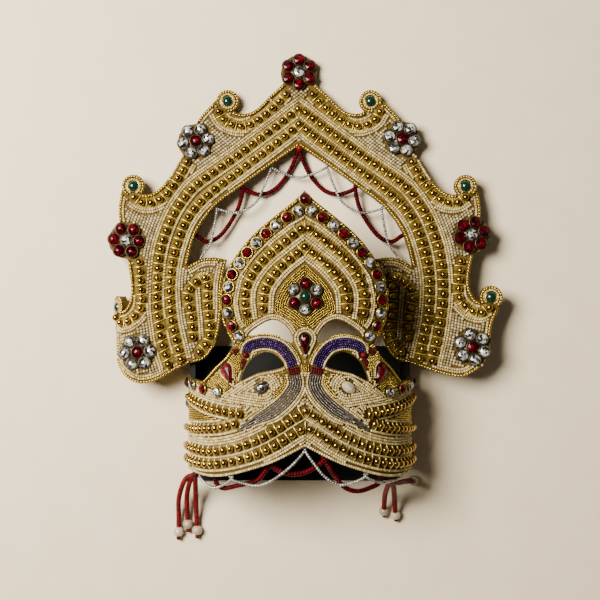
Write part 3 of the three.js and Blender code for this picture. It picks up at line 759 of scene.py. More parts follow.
# %% Free ground on a board
SEED_PITCH = 1.85
SEED_FULL = 1.06
SEWN_LIFT = 0.5
TOUCHING = 0.94
MIDDLE_SLACK = 0.01
PLY = dict(pitch=3.4, steps=7, swing=0.48, radius=0.54)
SHORTEST_CORD = 4
SHORTEST_RUN = 5
LEAST_RING = 10


def twisted(batch, surface, line, radius, material):
    """Cord of two plies wound round each other, couched along a flat line."""
    line = evenly(line, PLY["pitch"] * radius / PLY["steps"])
    if len(line) < SHORTEST_CORD:
        return
    place, out = lift_of(surface, line, SEWN_LIFT)
    across = np.cross(out, unit(np.gradient(place, axis=0)))
    turn = 2 * math.pi * np.arange(len(line))[:, None] / PLY["steps"]
    swings = [np.cos(turn + phase) * out + np.sin(turn + phase) * across for phase in (0, math.pi)]
    plies = [place + swing * radius * PLY["swing"] * MM for swing in swings]
    batch.strands(plies, radius * PLY["radius"] * MM, material)


class Ground:
    """One side of a board: its outline, what is sewn there already, and the way to space."""

    def __init__(self, surface, outline, sign, holes=()):
        self.surface = surface
        self.edges = [(outline, True), *((hole, False) for hole in holes)]
        self.sign = sign
        self.taken = []

    def take(self, points, radius):
        self.taken.append((np.atleast_2d(np.asarray(points, float)), radius))

    def free(self, points, radius, margin):
        """Which points are on this side, clear of the edges and of what is sewn there."""
        keep = points[:, 0] > -MIDDLE_SLACK
        if margin is not None:
            for edge, within in self.edges:
                keep &= (inside(points, edge) == within) & (away(points, edge) >= margin)
        for placed, reach in self.taken:
            if keep.any():
                keep[keep] = away(points[keep], placed, every=1) > (radius + reach) * TOUCHING
        return keep

    def shown(self, points):
        return np.asarray(points) * [self.sign, 1]

    def seeds(self, batch, line, radius, material, margin=0.3, closed=False):
        points = evenly(line, SEED_PITCH * radius, closed)
        points = points[self.free(points, radius, margin)]
        if not len(points):
            return
        self.take(points, radius)
        place, _ = lift_of(self.surface, self.shown(points), SEWN_LIFT)
        batch.copies(SEED, place, radius * SEED_FULL * MM, material)

    def cord(self, batch, line, radius, material, margin=0.0, closed=False):
        fine = np.vstack([line, line[:1]]) if closed else line
        for run in runs(fine, self.free(fine, radius, margin), least=SHORTEST_RUN):
            self.take(run[::2], radius)
            twisted(batch, self.surface, self.shown(run), radius, material)


def ring(x, y, radius):
    """Points round a circle."""
    count = max(LEAST_RING, int(2 * math.pi * radius / FINE))
    turn = np.linspace(0, 2 * math.pi, count, endpoint=False)
    return np.stack([x + radius * np.cos(turn), y + radius * np.sin(turn)], axis=1)


def spaced(first, pitch, count):
    """Distances one pitch apart."""
    return first + pitch * np.arange(count)


print("seeds lie", SEED_PITCH, "radii apart, a cord turns once in", PLY["pitch"], "radii")

# %% Lines of piping, cords and fields on the halo
PIPING = 0.58
FIELD = 0.68
PAIR = (2.95, 4.1)
CORD = 0.75
FLOWER_REACH = 8.3
LOWER_LEFT_RISE = 3.9
SCROLL = dict(eye=2.4, piping=3.15, cord=4.45)
BETWEEN_ROWS = 3.02
EDGE_PAIR = (2.05, 3.2)
FIELD_START = PAIR[1] + 1.3
FIELD_PITCH = 1.36
FIELD_LINES = 24
HAIRPIN = smooth([(45.6, 5), (44.9, -3), (44.2, -10), (43.8, -17)])
HAIRPIN_HALF = 0.6

halo_closed = np.vstack([halo_outline, flipped(halo_outline)[::-1]])
outer, inner = arch_lines["outer"], arch_lines["inner"]
edging = [beside(stretch, -CORD) for stretch in halo_edges.values()]
piping = [to_axis(beside(outer, -BETWEEN_ROWS))]
for distance in PAIR:
    piping += [to_axis(beside(outer, distance)), to_axis(beside(inner, -distance))]
for row in scallop_lines.values():
    piping += [beside(row, distance * way) for distance in PAIR for way in (1, -1)]
for name in ("wing", "wing_top", "lobe"):
    piping += [beside(halo_edges[name], -distance) for distance in EDGE_PAIR]
for name in ("shoulder1", "shoulder2", "shoulder3"):
    piping.append(beside(halo_edges[name], -EDGE_PAIR[0]))
piping += [beside(HAIRPIN, distance) for distance in (-HAIRPIN_HALF, HAIRPIN_HALF)]
fields = []
for distance in spaced(FIELD_START, FIELD_PITCH, FIELD_LINES):
    fields += [to_axis(beside(outer, distance)), beside(inner, -distance)]
print("lines of piping:", len(piping), "of field:", len(fields))

# %% Sewing them on
halo_piping, halo_fields, halo_cords = Batch(), Batch(), Batch()
for sign in (1, -1):
    ground = Ground(halo_at, halo_closed, sign)
    for name, (x, y, _, _) in FLOWERS.items():
        if name == "top" or x * sign > 0:
            raised = LOWER_LEFT_RISE if name == "lower_left" else 0
            ground.take([abs(x), y + raised], FLOWER_REACH)
    for row in [*arch_lines.values(), *scallop_lines.values(), wing_line]:
        ground.take(row[::2], ROW_HALF)
    for x, y in SCROLLS.values():
        ground.take([x, y], SCROLL["eye"])
        ground.seeds(halo_piping, ring(x, y, SCROLL["piping"]), PIPING, IVORY, closed=True, margin=None)
        ground.cord(halo_cords, ring(x, y, SCROLL["cord"]), CORD, GOLD_WIRE, closed=True, margin=None)
    for line in edging:
        ground.cord(halo_cords, line, CORD, GOLD_WIRE)
    for line in piping:
        ground.seeds(halo_piping, line, PIPING, IVORY)
    for line in fields:
        ground.seeds(halo_fields, line, FIELD, IVORY_FIELD)

halo_piping.piece("halo_piping", "beadwork")
halo_fields.piece("halo_fields", "beadwork")
halo_cords.piece("halo_cords", "beadwork")
print({name: TALLY[name] for name in ("halo_piping", "halo_fields", "halo_cords")})

# %% [markdown]
# Cut stones
#
# The stones are foil-backed glass: a round girdle, a ring of kite facets and a table. Circles of
# sixteen and eight corners are bridged into facets, and the table is poked up to a low point, because
# a flat one would mirror the whole window at once. Then every facet is split from its neighbours so
# that it stays flat and can carry a painted tone of its own, a painted reflection. The green ones are
# smooth domes.

# %% Stone shapes
CUT_LEVELS = [(16, 1.0, 0.0), (16, 1.0, 0.3), (8, 0.78, 0.72), (8, 0.4, 1.0)]
TABLE_RISE = 0.12
DROP_TAPER = 0.55
COLLAR_WIRE = 0.1
MERGE = 1e-5


def edges_of(circle):
    """The edges of a new circle, in the same order in every run."""
    return list(dict.fromkeys(e for v in circle["verts"] for e in v.link_edges))


def brilliant():
    """A cut stone of radius and height 1."""
    bm = bmesh.new()
    loops = []
    for corners, radius, height in CUT_LEVELS:
        turn = Matrix.Rotation(math.pi / 8 * (len(loops) % 2), 4, "Z")
        level = Matrix.Translation((0, 0, height)) @ turn
        made = bmesh.ops.create_circle(bm, segments=corners, radius=radius, matrix=level)
        loops.append(edges_of(made))
    for low, high in zip(loops[:-1], loops[1:]):
        bmesh.ops.bridge_loops(bm, edges=low + high)
    bmesh.ops.edgeloop_fill(bm, edges=loops[0])
    top = bmesh.ops.edgeloop_fill(bm, edges=loops[-1])["faces"]
    bmesh.ops.recalc_face_normals(bm, faces=bm.faces)
    bmesh.ops.poke(bm, faces=top, offset=TABLE_RISE)
    bmesh.ops.split_edges(bm, edges=bm.edges)
    return arrays_of(bm)


def dome():
    """The upper half of a ball, closed below."""
    bm = bmesh.new()
    bmesh.ops.create_uvsphere(bm, u_segments=14, v_segments=10, radius=1.0)
    bmesh.ops.bisect_plane(bm, geom=[*bm.verts, *bm.edges, *bm.faces], plane_co=(0, 0, 0),
                           plane_no=(0, 0, -1), clear_outer=True)
    rim = [e for e in bm.edges if e.is_boundary]
    bmesh.ops.edgeloop_fill(bm, edges=rim)
    bmesh.ops.recalc_face_normals(bm, faces=bm.faces)
    return arrays_of(bm)


def pointed(shape, half, length):
    """A stone drawn out to a point at its upper end."""
    points, corners, counts = shape
    up = points[:, 1]
    narrow = np.where(up > 0, 1 - DROP_TAPER * up, 1)
    tall = np.where(up > 0, up * (length - half), up * half) + half - length / 2
    return np.stack([points[:, 0] * half * narrow, tall, points[:, 2]], axis=1), corners, counts


def cup():
    """A low gold collar round a stone."""
    bm = bmesh.new()
    upright = Matrix.Translation((1.0, 0, 0)) @ Matrix.Rotation(math.pi / 2, 4, "X")
    made = bmesh.ops.create_circle(bm, segments=8, radius=COLLAR_WIRE, matrix=upright)
    bmesh.ops.spin(bm, geom=[*made["verts"], *edges_of(made)], cent=(0, 0, 0), axis=(0, 0, 1),
                   angle=2 * math.pi, steps=18, use_merge=True)
    bmesh.ops.remove_doubles(bm, verts=bm.verts, dist=MERGE)
    bmesh.ops.recalc_face_normals(bm, faces=bm.faces)
    return arrays_of(bm)


def plate():
    """The round plate under a flower."""
    bm = bmesh.new()
    bmesh.ops.create_cone(bm, cap_ends=True, segments=20, radius1=1.0, radius2=0.96, depth=1.0)
    return arrays_of(bm)


BRILLIANT, DOME, CUP, PLATE = brilliant(), dome(), cup(), plate()
print("facets:", len(BRILLIANT[2]), "dome faces:", len(DOME[2]), "cup faces:", len(CUP[2]))

# %% Setting a stone
STONE = dict(flower=2.55, ring=5.7, scroll=2.5, border=2.2, height=2.0, full=1.09)
COLLAR = dict(wide=1.06, tall=1.3, lift=0.45)
SMOOTH_TONE = 0.55
COLLAR_TONE = 0.5
NUDGE = 0.05


def standing(surface, place, lift, turn=0.0, **words):
    """Place and axes of a piece that stands on a board at one point."""
    x, y = place
    near = np.array([[x - NUDGE, y], [x + NUDGE, y], [x, y - NUDGE], [x, y + NUDGE], [x, y]])
    spots = surface(near[:, 0], near[:, 1], lift, **words)
    across = unit(spots[1] - spots[0])
    out = unit(np.cross(across, spots[3] - spots[2]))
    up = np.cross(out, across)
    spin = math.radians(turn)
    first = across * math.cos(spin) + up * math.sin(spin)
    return spots[4], np.stack([first, np.cross(out, first), out], axis=1)


def set_stone(batch, place, axes, radius, kind, collar=GOLD_WIRE):
    """One stone in its collar. The material decides the cut."""
    turned = axes[None]
    tall = STONE["height"] * MM
    if kind is GREEN_STONE:
        batch.copies(DOME, place, (radius * MM, radius * MM, tall), kind, turned, tones=[SMOOTH_TONE])
    else:
        full = radius * STONE["full"] * MM
        batch.copies(BRILLIANT, place, (full, full, tall), kind, turned, facets=True)
    wide = radius * COLLAR["wide"] * MM
    raised = place + axes[:, 2] * COLLAR["lift"] * MM
    batch.copies(CUP, raised, (wide, wide, radius * COLLAR["tall"] * MM), collar, turned, tones=[COLLAR_TONE])


print("a stone is", STONE["height"], "mm high in a collar of", COLLAR["wide"], "times its width")

# %% [markdown]
# Flowers and scroll stones
#
# Seven round stones on a dark plate make a flower. Each one stands where its solid stands. A green
# dome sits in the eye of each scroll.

# %% Flowers and scroll stones on the halo
PLATE_SIZE = dict(thick=0.9, share=0.86, sunk=0.2)
PLATE_TONE = 0.4
PETALS = 6
GAP = 0.35
GLASS = dict(red=RED_STONE, white=CLEAR_STONE, green=GREEN_STONE)


def petal_ways(turn):
    """Directions of the six stones round a flower's middle one."""
    angle = np.radians(turn + 360 / PETALS * np.arange(PETALS))
    return np.stack([np.cos(angle), np.sin(angle)], axis=1)


def flower(name, surface, place, ring_radius, stone, kinds, turn, slot, lift=GAP, **words):
    """A plate with a middle stone and six round it."""
    batch = Batch()
    base, axes = standing(surface, place, lift, **words)
    wide = (ring_radius + stone) * PLATE_SIZE["share"] * MM
    thick = PLATE_SIZE["thick"] * MM
    batch.copies(PLATE, base + axes[:, 2] * thick / 2, (wide, wide, thick), DARK_SETTING, axes[None],
                 tones=[PLATE_TONE])
    seat = base + axes[:, 2] * (PLATE_SIZE["thick"] - PLATE_SIZE["sunk"]) * MM
    set_stone(batch, seat, axes, stone, GLASS[kinds[0]], DARK_SETTING)
    for k, way in enumerate(petal_ways(turn)):
        spot = seat + axes[:, :2] @ way * ring_radius * MM
        set_stone(batch, spot, axes, stone, GLASS[kinds[1 + k % (len(kinds) - 1)]], DARK_SETTING)
    batch.piece(name + "_stones", slot, name)


def dome_stone(node, surface, place):
    """A green dome in its collar."""
    batch = Batch()
    set_stone(batch, *standing(surface, place, GAP), STONE["scroll"], GREEN_STONE)
    batch.piece(node + "_dome", "green_stone", node)


for name, (x, y, turn, centre) in FLOWERS.items():
    petals = "white" if centre == "red" else "red"
    flower("flower_" + name, halo_at, (x, y), STONE["ring"], STONE["flower"], [centre, petals], turn,
           petals + "_stone", sagged=False)
for name, (x, y) in SCROLLS.items():
    dome_stone("scroll_stone_" + name + "_right", halo_at, (x, y))
    dome_stone("scroll_stone_" + name + "_left", halo_at, (-x, y))
print("flowers and scroll stones set")

# %% [markdown]
# The drawn pattern of the front board
#
# The front board's pattern is drawn flat too: the distance round the board from its middle, and the
# height. Outline and openings were drawn as seen from the front, so they are first unrolled.

# %% The front board's pattern
FRONT_EDGE = dict(
    crest=[(0, 45.6), (4.4, 41.2), (9.5, 37.2), (14, 33.6), (18.5, 30), (22.6, 26), (26.3, 21.7), (29.6, 17),
           (32.4, 12), (34.4, 6.3), (35.2, 0), (34.6, -6), (32.6, -12.3), (29.3, -18)],
    rim=[(29.3, -18), (32, -23.5), (37, -28.7), (41, -33.6), (43, -35), (46, -34.6), (49, -34.6)],
    foot=[(49, -74.4), (46.4, -75.2), (39.3, -75.5), (31.5, -74), (21.7, -70.7), (12.3, -67), (0, -60.5)],
)
CRESCENT = [(23.4, -14.8), (19, -10.7), (13.4, -8.2), (8.4, -10.2), (5.2, -15), (5.7, -17.9), (11.6, -14.9),
            (16.2, -14.1)]
NECK_GAP = [(26.6, -33.6), (24.2, -27.4), (20.9, -23.6), (16.7, -21.5), (12.9, -22.2), (9.9, -24.7),
            (8.6, -27.2), (11.2, -28.5), (15, -29.4), (19.5, -30.4), (23.6, -32.4)]
FRONT_ROWS = dict(
    crest_row_outer=[(0, 30.7), (3.8, 27.9), (10.4, 22.6), (16.6, 17.3), (22, 10.6), (24.6, 4.6), (25, -1),
                     (24.5, -5.6)],
    crest_row_inner=[(0, 22), (3.4, 19.3), (9.6, 14.2), (14.9, 7.9), (17, 3), (17.5, -3.6)],
    band_row_upper=[(0, -45.6), (4.3, -48.3), (10.9, -52.8), (18.2, -57.2), (26.5, -60.7), (34, -62.8),
                    (42.6, -64.3), (52, -64.9), (77, -64.9)],
    band_row_lower=[(0, -52.4), (4.3, -54.8), (10.9, -59.2), (18.2, -63.1), (26.5, -66.2), (35.9, -68.6),
                    (45, -69.9), (54, -70.4), (77, -70.3)],
)
SIDE_ROWS = dict(
    upper=[(28, -47.6), (38.2, -46.8), (44, -46.2), (50.1, -45.4), (57, -44.4), (67.5, -42.8)],
    lower=[(30.5, -51.9), (35.9, -53.3), (41.3, -54.3), (46.9, -54.9), (53.8, -55.6), (64.3, -56.2),
           (76, -56.7)],
)
CREST_STONES = [(0, 42), (2.7, 36.9), (7.3, 34.2), (11.8, 30.8), (16, 27.5), (19.9, 23.7), (23.8, 19.7),
                (27.1, 15.3), (30.3, 10.6), (31.7, 5.4), (32.7, 0.1), (32.4, -5.3), (31, -10.8), (27.8, -15)]
CREST_FLOWER = dict(place=(0, 1.4), ring=5.4, stone=2.2, turn=90)
CENTRE_DROP = dict(place=(0, -18), half=2.3, length=9.0, turn=180)
LEAF_DROP = dict(place=(34.4, -31), half=2.9, length=9.4, turn=150)
BODY_STONE = dict(place=(18.2, -36.2), long=3.4, short=2.2, turn=-32)
RIM_STONES = [(39.8, -38.9), (49.8, -38.2), (59.8, -37), (69, -36.6)]
SIDE_STONE = (76, -46)


def unrolled(points):
    """Points seen from the front, as distances round the board."""
    x, y = np.asarray(points, float).T
    radius = bend_radius(y)
    return np.stack([radius * np.arcsin(np.clip(x / radius, -1, 1)), y], axis=1)


leg_end = evenly([(REACH, FRONT_EDGE["rim"][-1][1]), (REACH, FRONT_EDGE["foot"][0][1])], FINE)
front_edges = {name: smooth(unrolled(points)) for name, points in FRONT_EDGE.items()}
front_outline = np.vstack([front_edges["crest"], front_edges["rim"], leg_end, front_edges["foot"]])
front_closed = np.vstack([front_outline, flipped(front_outline)[::-1]])
crescent = smooth(unrolled(CRESCENT), closed=True)
neck_gap = smooth(unrolled(NECK_GAP), closed=True)
front_lines = {name: smooth(points) for name, points in FRONT_ROWS.items()}
side_lines = {name: smooth(points) for name, points in SIDE_ROWS.items()}
print("front outline points:", len(front_outline))

# %% Gold bead rows on the front board
FRONT_PITCH = 4.1
SIDE_PITCH = 3.6
for name, line in front_lines.items():
    # The band's rows get the darker channel wire, painted shade.
    look = SHADED_CHANNEL if name.startswith("band") else CHANNEL
    bead_row(name, front_at, whole(line), FRONT_PITCH, look)
for name, line in side_lines.items():
    row_pair("side_row_" + name, front_at, line, SIDE_PITCH, SHADED_CHANNEL)
print("bead rows:", sum(name.endswith("_beads") for name in TALLY))

# %% [markdown]
# Stones of the front board
#
# A border of red and clear stones in turn runs round the crest, and a flower with a green eye sits in
# its middle. Red drops lie between the birds' necks and on the leaves, and an oval clear stone on
# each bird. Rim stones run in short rows at the top of the band.

# %% Crest border, rim rows, drops and ovals
WIDE_GAP = 0.5
ROW_GAP = GAP + 0.6
RIM_KINDS = ["white", "red", "white", "red"]


def stone_row(node, places, kinds):
    batch = Batch()
    for place, kind in zip(places, kinds):
        set_stone(batch, *standing(front_at, place, ROW_GAP), STONE["border"], GLASS[kind])
    batch.piece(node + "_set", "red_stone", node)


def lone_stone(node, spec, sign, lift, shape, size, glass, slot):
    """One cut stone without a collar, turned on the board."""
    batch = Batch()
    place, axes = standing(front_at, np.array(spec["place"]) * [sign, 1], lift, turn=spec["turn"] * sign)
    batch.copies(shape, place, (*size, STONE["height"] * MM), glass, axes[None], facets=True)
    batch.piece(node + "_cut", slot, node)


def drop_stone(node, spec, sign, lift, glass):
    cut = pointed(BRILLIANT, spec["half"], spec["length"])
    lone_stone(node, spec, sign, lift, cut, (MM, MM), glass, "red_stone")


tip = len(CREST_STONES) - 1
border = [*flipped(CREST_STONES)[:0:-1], *np.array(CREST_STONES)]
stone_row("crest_stones", border, ["white" if (k - tip) % 2 else "red" for k in range(len(border))])
flower("crest_flower", front_at, CREST_FLOWER["place"], CREST_FLOWER["ring"], CREST_FLOWER["stone"],
       ["green", "red", "white"], CREST_FLOWER["turn"], "red_stone", lift=WIDE_GAP)
drop_stone("centre_drop", CENTRE_DROP, 1, GAP, RED_STONE)
oval = (BODY_STONE["long"] * MM, BODY_STONE["short"] * MM)
for side, sign, red, pale in (("right", 1, RED_STONE, REFLECTING_STONE), ("left", -1, LIT_RED_DROP, CLEAR_STONE)):
    # red is the darker red on the right and the brighter, painted-light copy on the left.
    drop_stone("leaf_drop_" + side, LEAF_DROP, sign, WIDE_GAP, red)
    # pale is a painted reflection of the ivory on the right oval, and plain clear glass on the left.
    lone_stone("body_stone_" + side, BODY_STONE, sign, WIDE_GAP, BRILLIANT, oval, pale, "white_stone")
    stone_row("rim_stones_" + side, np.array(RIM_STONES) * [sign, 1], RIM_KINDS)
    dome_stone("side_stone_" + side, front_at, (SIDE_STONE[0] * sign, SIDE_STONE[1]))
print("front stones set")

# %% [markdown]
# The birds and the rest of the front board
#
# Two birds face outwards over the band: violet bead necks, a red collar, a sweep of grey purl for the
# tail and an ivory body round the oval stone. Ivory piping outlines each form, ivory lines fill the
# band, and what is left is couched gold purl. The order matters, because the first line takes the
# ground: the named forms, then the outlines, then the fillings.

# %% Drop outlines
ARC_POINTS = 60
BLUNTEST = 0.98
TIP_CLEAR = 1.6
CLOSING = 2.2


def teardrop(centre, radius, point):
    """Outline of a round end drawn out to a point, going round to the left."""
    centre, point = np.asarray(centre, float), np.asarray(point, float)
    reach = np.linalg.norm(point - centre)
    towards = math.atan2(*(point - centre)[::-1])
    open_half = math.acos(min(BLUNTEST, radius / reach))
    turn = np.linspace(towards + open_half, towards + 2 * math.pi - open_half, ARC_POINTS)
    arc = centre + radius * np.stack([np.cos(turn), np.sin(turn)], axis=1)
    return evenly(np.vstack([point, arc, point]), FINE)


def around_drop(spec, clear):
    """Outline round a drop stone, a little clear of it."""
    turn = math.radians(spec["turn"])
    axis = np.array([-math.sin(turn), math.cos(turn)])
    place = np.asarray(spec["place"], float)
    end = place + axis * (spec["half"] - spec["length"] / 2)
    tip = place + axis * (spec["length"] / 2 + clear * TIP_CLEAR)
    return teardrop(end, spec["half"] + clear, tip)


def tapered(line, distance, least):
    """A line beside another that closes up towards its end."""
    share = np.linspace(1, 0, len(line))[:, None]
    close = least + (1 - least) * np.minimum(1, CLOSING * share)
    return line + sideways(line) * distance * close


def longer(line, reach):
    """A line carried on straight past its end."""
    onward = unit(line[-1] - line[-6])
    return np.vstack([line, line[-1] + onward * np.arange(FINE, reach, FINE)[:, None]])


print("round the leaf's drop:", len(around_drop(LEAF_DROP, 1.0)), "points")

# %% Ground of the front board, with what is already set there
ROUND_STONE = STONE["border"] + 0.3
IN_DROP = 0.9
IN_OVAL = dict(ring=1.2, reach=1.9)
figures, front_piping, front_cords, front_purl = Batch(), Batch(), Batch(), Batch()
front_grounds = []
for sign in (1, -1):
    ground = Ground(front_at, front_closed, sign, (crescent, neck_gap))
    for row in [*front_lines.values(), *side_lines.values()]:
        ground.take(row[::2], ROW_HALF)
    for place in [*CREST_STONES, *RIM_STONES, SIDE_STONE]:
        ground.take(place, ROUND_STONE)
    ground.take(CREST_FLOWER["place"], CREST_FLOWER["ring"])
    for way in petal_ways(CREST_FLOWER["turn"]):
        ground.take(CREST_FLOWER["place"] + CREST_FLOWER["ring"] * way, CREST_FLOWER["stone"])
    for spec in (CENTRE_DROP, LEAF_DROP):
        ground.take(around_drop(spec, -IN_DROP), IN_DROP)
    ground.take(ring(*BODY_STONE["place"], IN_OVAL["ring"]), IN_OVAL["reach"])
    front_grounds.append(ground)
print("front ground ready, taken:", len(front_grounds[0].taken))

# %% Birds: neck, eye, beak, collar and tail
THIN = 0.5
NECK = smooth([(25.2, -22.9), (23.6, -19.5), (16.9, -17.8), (10.5, -19.3), (6.4, -23.8), (5.1, -27.1)])
COLLAR_LINE = smooth([(5.05, -27.2), (4.75, -28.7), (4.5, -30.2)])
TAIL = smooth([(4.5, -30.7), (4.0, -35.2), (7.2, -40.6), (13.4, -46.1), (21, -50.2), (28.4, -54.4)])
EYE = dict(place=(25.2, -22.9), radius=1.35, lift=0.9)
BEAK = smooth([(26.0, -25.0), (26.7, -26.6), (27.2, -28.4)])
BEAK_TIP = 0.1
EAR = dict(corners=[(29.2, -20.9), (31.8, -20.9), (30.6, -22.9)], step=1.0, seed=0.55)
TAIL_WIRE = dict(radius=0.34, tip=0.16, under=0.05, step=1.1)

bird_seeds = [(beside(NECK, distance), THIN, VIOLET_SEED) for distance in (-1.5, -0.5, 0.5, 1.5)]
bird_seeds += [(beside(COLLAR_LINE, distance), THIN, RED_SEED) for distance in (-1.9, -0.95, 0.0, 0.95, 1.9)]
bird_seeds += [(tapered(BEAK, distance, BEAK_TIP), THIN, RED_SEED) for distance in (-0.5, 0.5)]
bird_seeds.append((evenly(EAR["corners"], EAR["step"], closed=True), EAR["seed"], RED_SEED))
tail_wires = [tapered(TAIL, distance, TAIL_WIRE["tip"]) for distance in (-2.0, -1.0, 0.0, 1.0, 2.0)]
# Painted shade: dark wires in the gaps between the tail's grey wires darken the grooves.
tail_groove_shade = [tapered(TAIL, distance, TAIL_WIRE["tip"]) for distance in (-1.5, -0.5, 0.5, 1.5)]
for ground in front_grounds:
    place, _ = lift_of(front_at, ground.shown([EYE["place"]]), EYE["lift"])
    figures.copies(BEAD, place, EYE["radius"] * MM, RED_SEED)
    ground.take(EYE["place"], EYE["radius"])
    for line, radius, glass in bird_seeds:
        ground.seeds(figures, line, radius, glass)
    for line in tail_wires:
        ground.cord(figures, line, TAIL_WIRE["radius"], GREY_WIRE)
    under = [evenly(ground.shown(line), TAIL_WIRE["step"]) for line in tail_groove_shade]
    paths = [lift_of(front_at, line, TAIL_WIRE["under"])[0] for line in under]
    figures.strands(paths, TAIL_WIRE["radius"] * MM, DARK_SETTING)
figures.piece("bird_figures", "beadwork")
print("birds:", TALLY["bird_figures"], "triangles")

# %% Edges and outlines of the front board
STONE_BORDER = smooth(CREST_STONES)
FOOT_IN = 0.65
NECK_CORD = dict(out=-3.5, radius=0.45)
TAIL_CLOSE = 0.3
TAIL_CORD = dict(points=36, radius=0.43)
DROP_CLEAR = (0.75, 1.8)
CREST_WAY = 9.0

crest_ways = [longer(front_lines["crest_row_" + name], CREST_WAY) for name in ("outer", "inner")]
outlines = [tapered(TAIL, distance, TAIL_CLOSE) for distance in (-3.1, -4.2, 3.1)]
outlines += [around_drop(CENTRE_DROP, clear) for clear in DROP_CLEAR]
outlines.append(around_drop(LEAF_DROP, DROP_CLEAR[0]))
edge_lines = [(beside(crescent, distance), THIN) for distance in (0.8, 1.85, -0.8, -1.85)]
edge_lines += [(beside(neck_gap, distance), THIN) for distance in (0.8, -0.8)]
edge_lines += [(to_axis(beside(STONE_BORDER, distance)), PIPING) for distance in (-3.3, -4.4)]
edge_lines += [(to_axis(beside(way, -distance)), PIPING) for way in crest_ways for distance in PAIR]
for ground in front_grounds:
    for name in ("crest", "rim"):
        ground.cord(front_cords, beside(front_edges[name], -CORD), CORD, GOLD_WIRE)
    ground.seeds(front_piping, beside(front_edges["foot"], -FOOT_IN), PIPING, IVORY, margin=0.0)
    for distance in (-2.55, 2.55):
        ground.seeds(front_piping, beside(NECK, distance), THIN, IVORY)
    ground.cord(front_cords, beside(NECK, NECK_CORD["out"]), NECK_CORD["radius"], GOLD_WIRE)
    for line in outlines:
        ground.seeds(front_piping, line, THIN, IVORY)
    for distance in (4.05, 4.9):
        start = tapered(TAIL, distance, 1.0)[:TAIL_CORD["points"]]
        ground.cord(front_cords, start, TAIL_CORD["radius"], GOLD_WIRE)
    for line, radius in edge_lines:
        ground.seeds(front_piping, line, radius, IVORY)
print("outlines drawn:", len(outlines) + len(edge_lines))

# %% Ivory lines on the band and the birds' bodies
BODY = teardrop((17.6, -36.8), 7.2, (39, -41.6))
BODY_LINE = 0.55
MIDDLE_SEED = 0.45
TAIL_SEED = 0.38
GAP_SEED = 0.36
LEVEL_SEED = 0.4
LINE_PITCH = 1.15
TAIL_OPEN = 0.5
BODY_TOP = -30
BODY_SPAN = (9, 38)
MANY = 400


def thinned(line, count):
    """A given number of a line's points."""
    return line[np.linspace(0, len(line) - 1, count).astype(int)]


upper, lower = front_lines["band_row_upper"], front_lines["band_row_lower"]
side_row = side_lines["upper"]
rails = [evenly(row, REACH / MANY) for row in (upper, lower)]
count = min(len(rail) for rail in rails)
ivory = [(sum(thinned(rail, count) for rail in rails) / 2, MIDDLE_SEED)]
ivory += [(to_axis(beside(lower, -out)), PIPING) for out in spaced(2.95, LINE_PITCH, 4)]
ivory += [(beside(row, out), PIPING) for row in side_lines.values() for out in (-2.9, 2.9)]
ivory += [(to_axis(beside(upper, out)), PIPING) for out in spaced(2.95, LINE_PITCH, 6)]
ivory += [(beside(BODY, out), BODY_LINE) for out in spaced(0.0, 1.1, 7)]
ivory += [(beside(side_row, out), PIPING) for out in spaced(4.05, LINE_PITCH, 4)]
ivory += [(tapered(TAIL, out, TAIL_OPEN), BODY_LINE) for out in spaced(4.2, 1.1, 5)]
ivory += [(tapered(TAIL, out, TAIL_OPEN), TAIL_SEED) for out in spaced(3.9, 0.45, 24)]
for out, wider in zip(spaced(3.3, 0.35, 14), spaced(3.3, 0.45, 14)):
    ivory += [(beside(side_row, out), GAP_SEED), (to_axis(beside(upper, wider)), GAP_SEED)]
for height in spaced(BODY_TOP, -0.8, 20):
    level = evenly([(across, height) for across in BODY_SPAN], FINE)
    ivory += [(run, LEVEL_SEED) for run in runs(level, inside(level, BODY))]
for ground in front_grounds:
    for line, radius in ivory:
        ground.seeds(front_piping, line, radius, IVORY)
front_piping.piece("front_piping", "beadwork")
front_cords.piece("front_cords", "beadwork")
print({name: TALLY[name] for name in ("front_piping", "front_cords")})

# %% Gold purl on what is left
PURL = 0.4
PURL_MARGIN = 0.4
PURL_PITCH = 0.92
CORE = smooth([(0, 14.8), (3.2, 12), (7.6, 7.6), (10.9, 2.6), (12.3, -2), (12.1, -5.2), (9.4, -6.6),
               (6.2, -8.8), (3.2, -11.4), (0, -12.4)])
UPRIGHT = (-8, -60)
LEVEL = (0.4, REACH - 1)

purl = [around_drop(LEAF_DROP, clear) for clear in spaced(1.7, PURL_PITCH, 12)]
purl += [to_axis(beside(CORE, -out)) for out in spaced(0.2, PURL_PITCH, 12)]
for way in crest_ways:
    purl += [beside(way, 0.01 + PURL_PITCH * k) for k in range(-2, 3)]
for name in ("crest", "rim"):
    purl += [beside(front_edges[name], -out) for out in spaced(2.1, PURL_PITCH, 8)]
purl += [beside(side_lines["lower"], out) for out in spaced(3.9, PURL_PITCH, 10)]
for across in spaced(0.45, PURL_PITCH, 14):
    purl.append(evenly([(across, end) for end in UPRIGHT], FINE))
for height in spaced(-4.0, -PURL_PITCH, 54):
    purl.append(evenly([(end, height) for end in LEVEL], FINE))
for ground in front_grounds:
    for line in purl:
        ground.cord(front_purl, line, PURL, GOLD_WIRE, margin=PURL_MARGIN)
front_purl.piece("front_purl", "beadwork")
print("purl:", TALLY["front_purl"], "triangles")

# %% [markdown]
# Strings of tiny beads
#
# Red and silver strings loop inside the arch and under the band, and three red strings with a pearl
# hang at each lower corner. A string is a row of small beads that touch, along the same way as the
# tube that holds its place. The arch strings hang a little towards the table between their stitches.

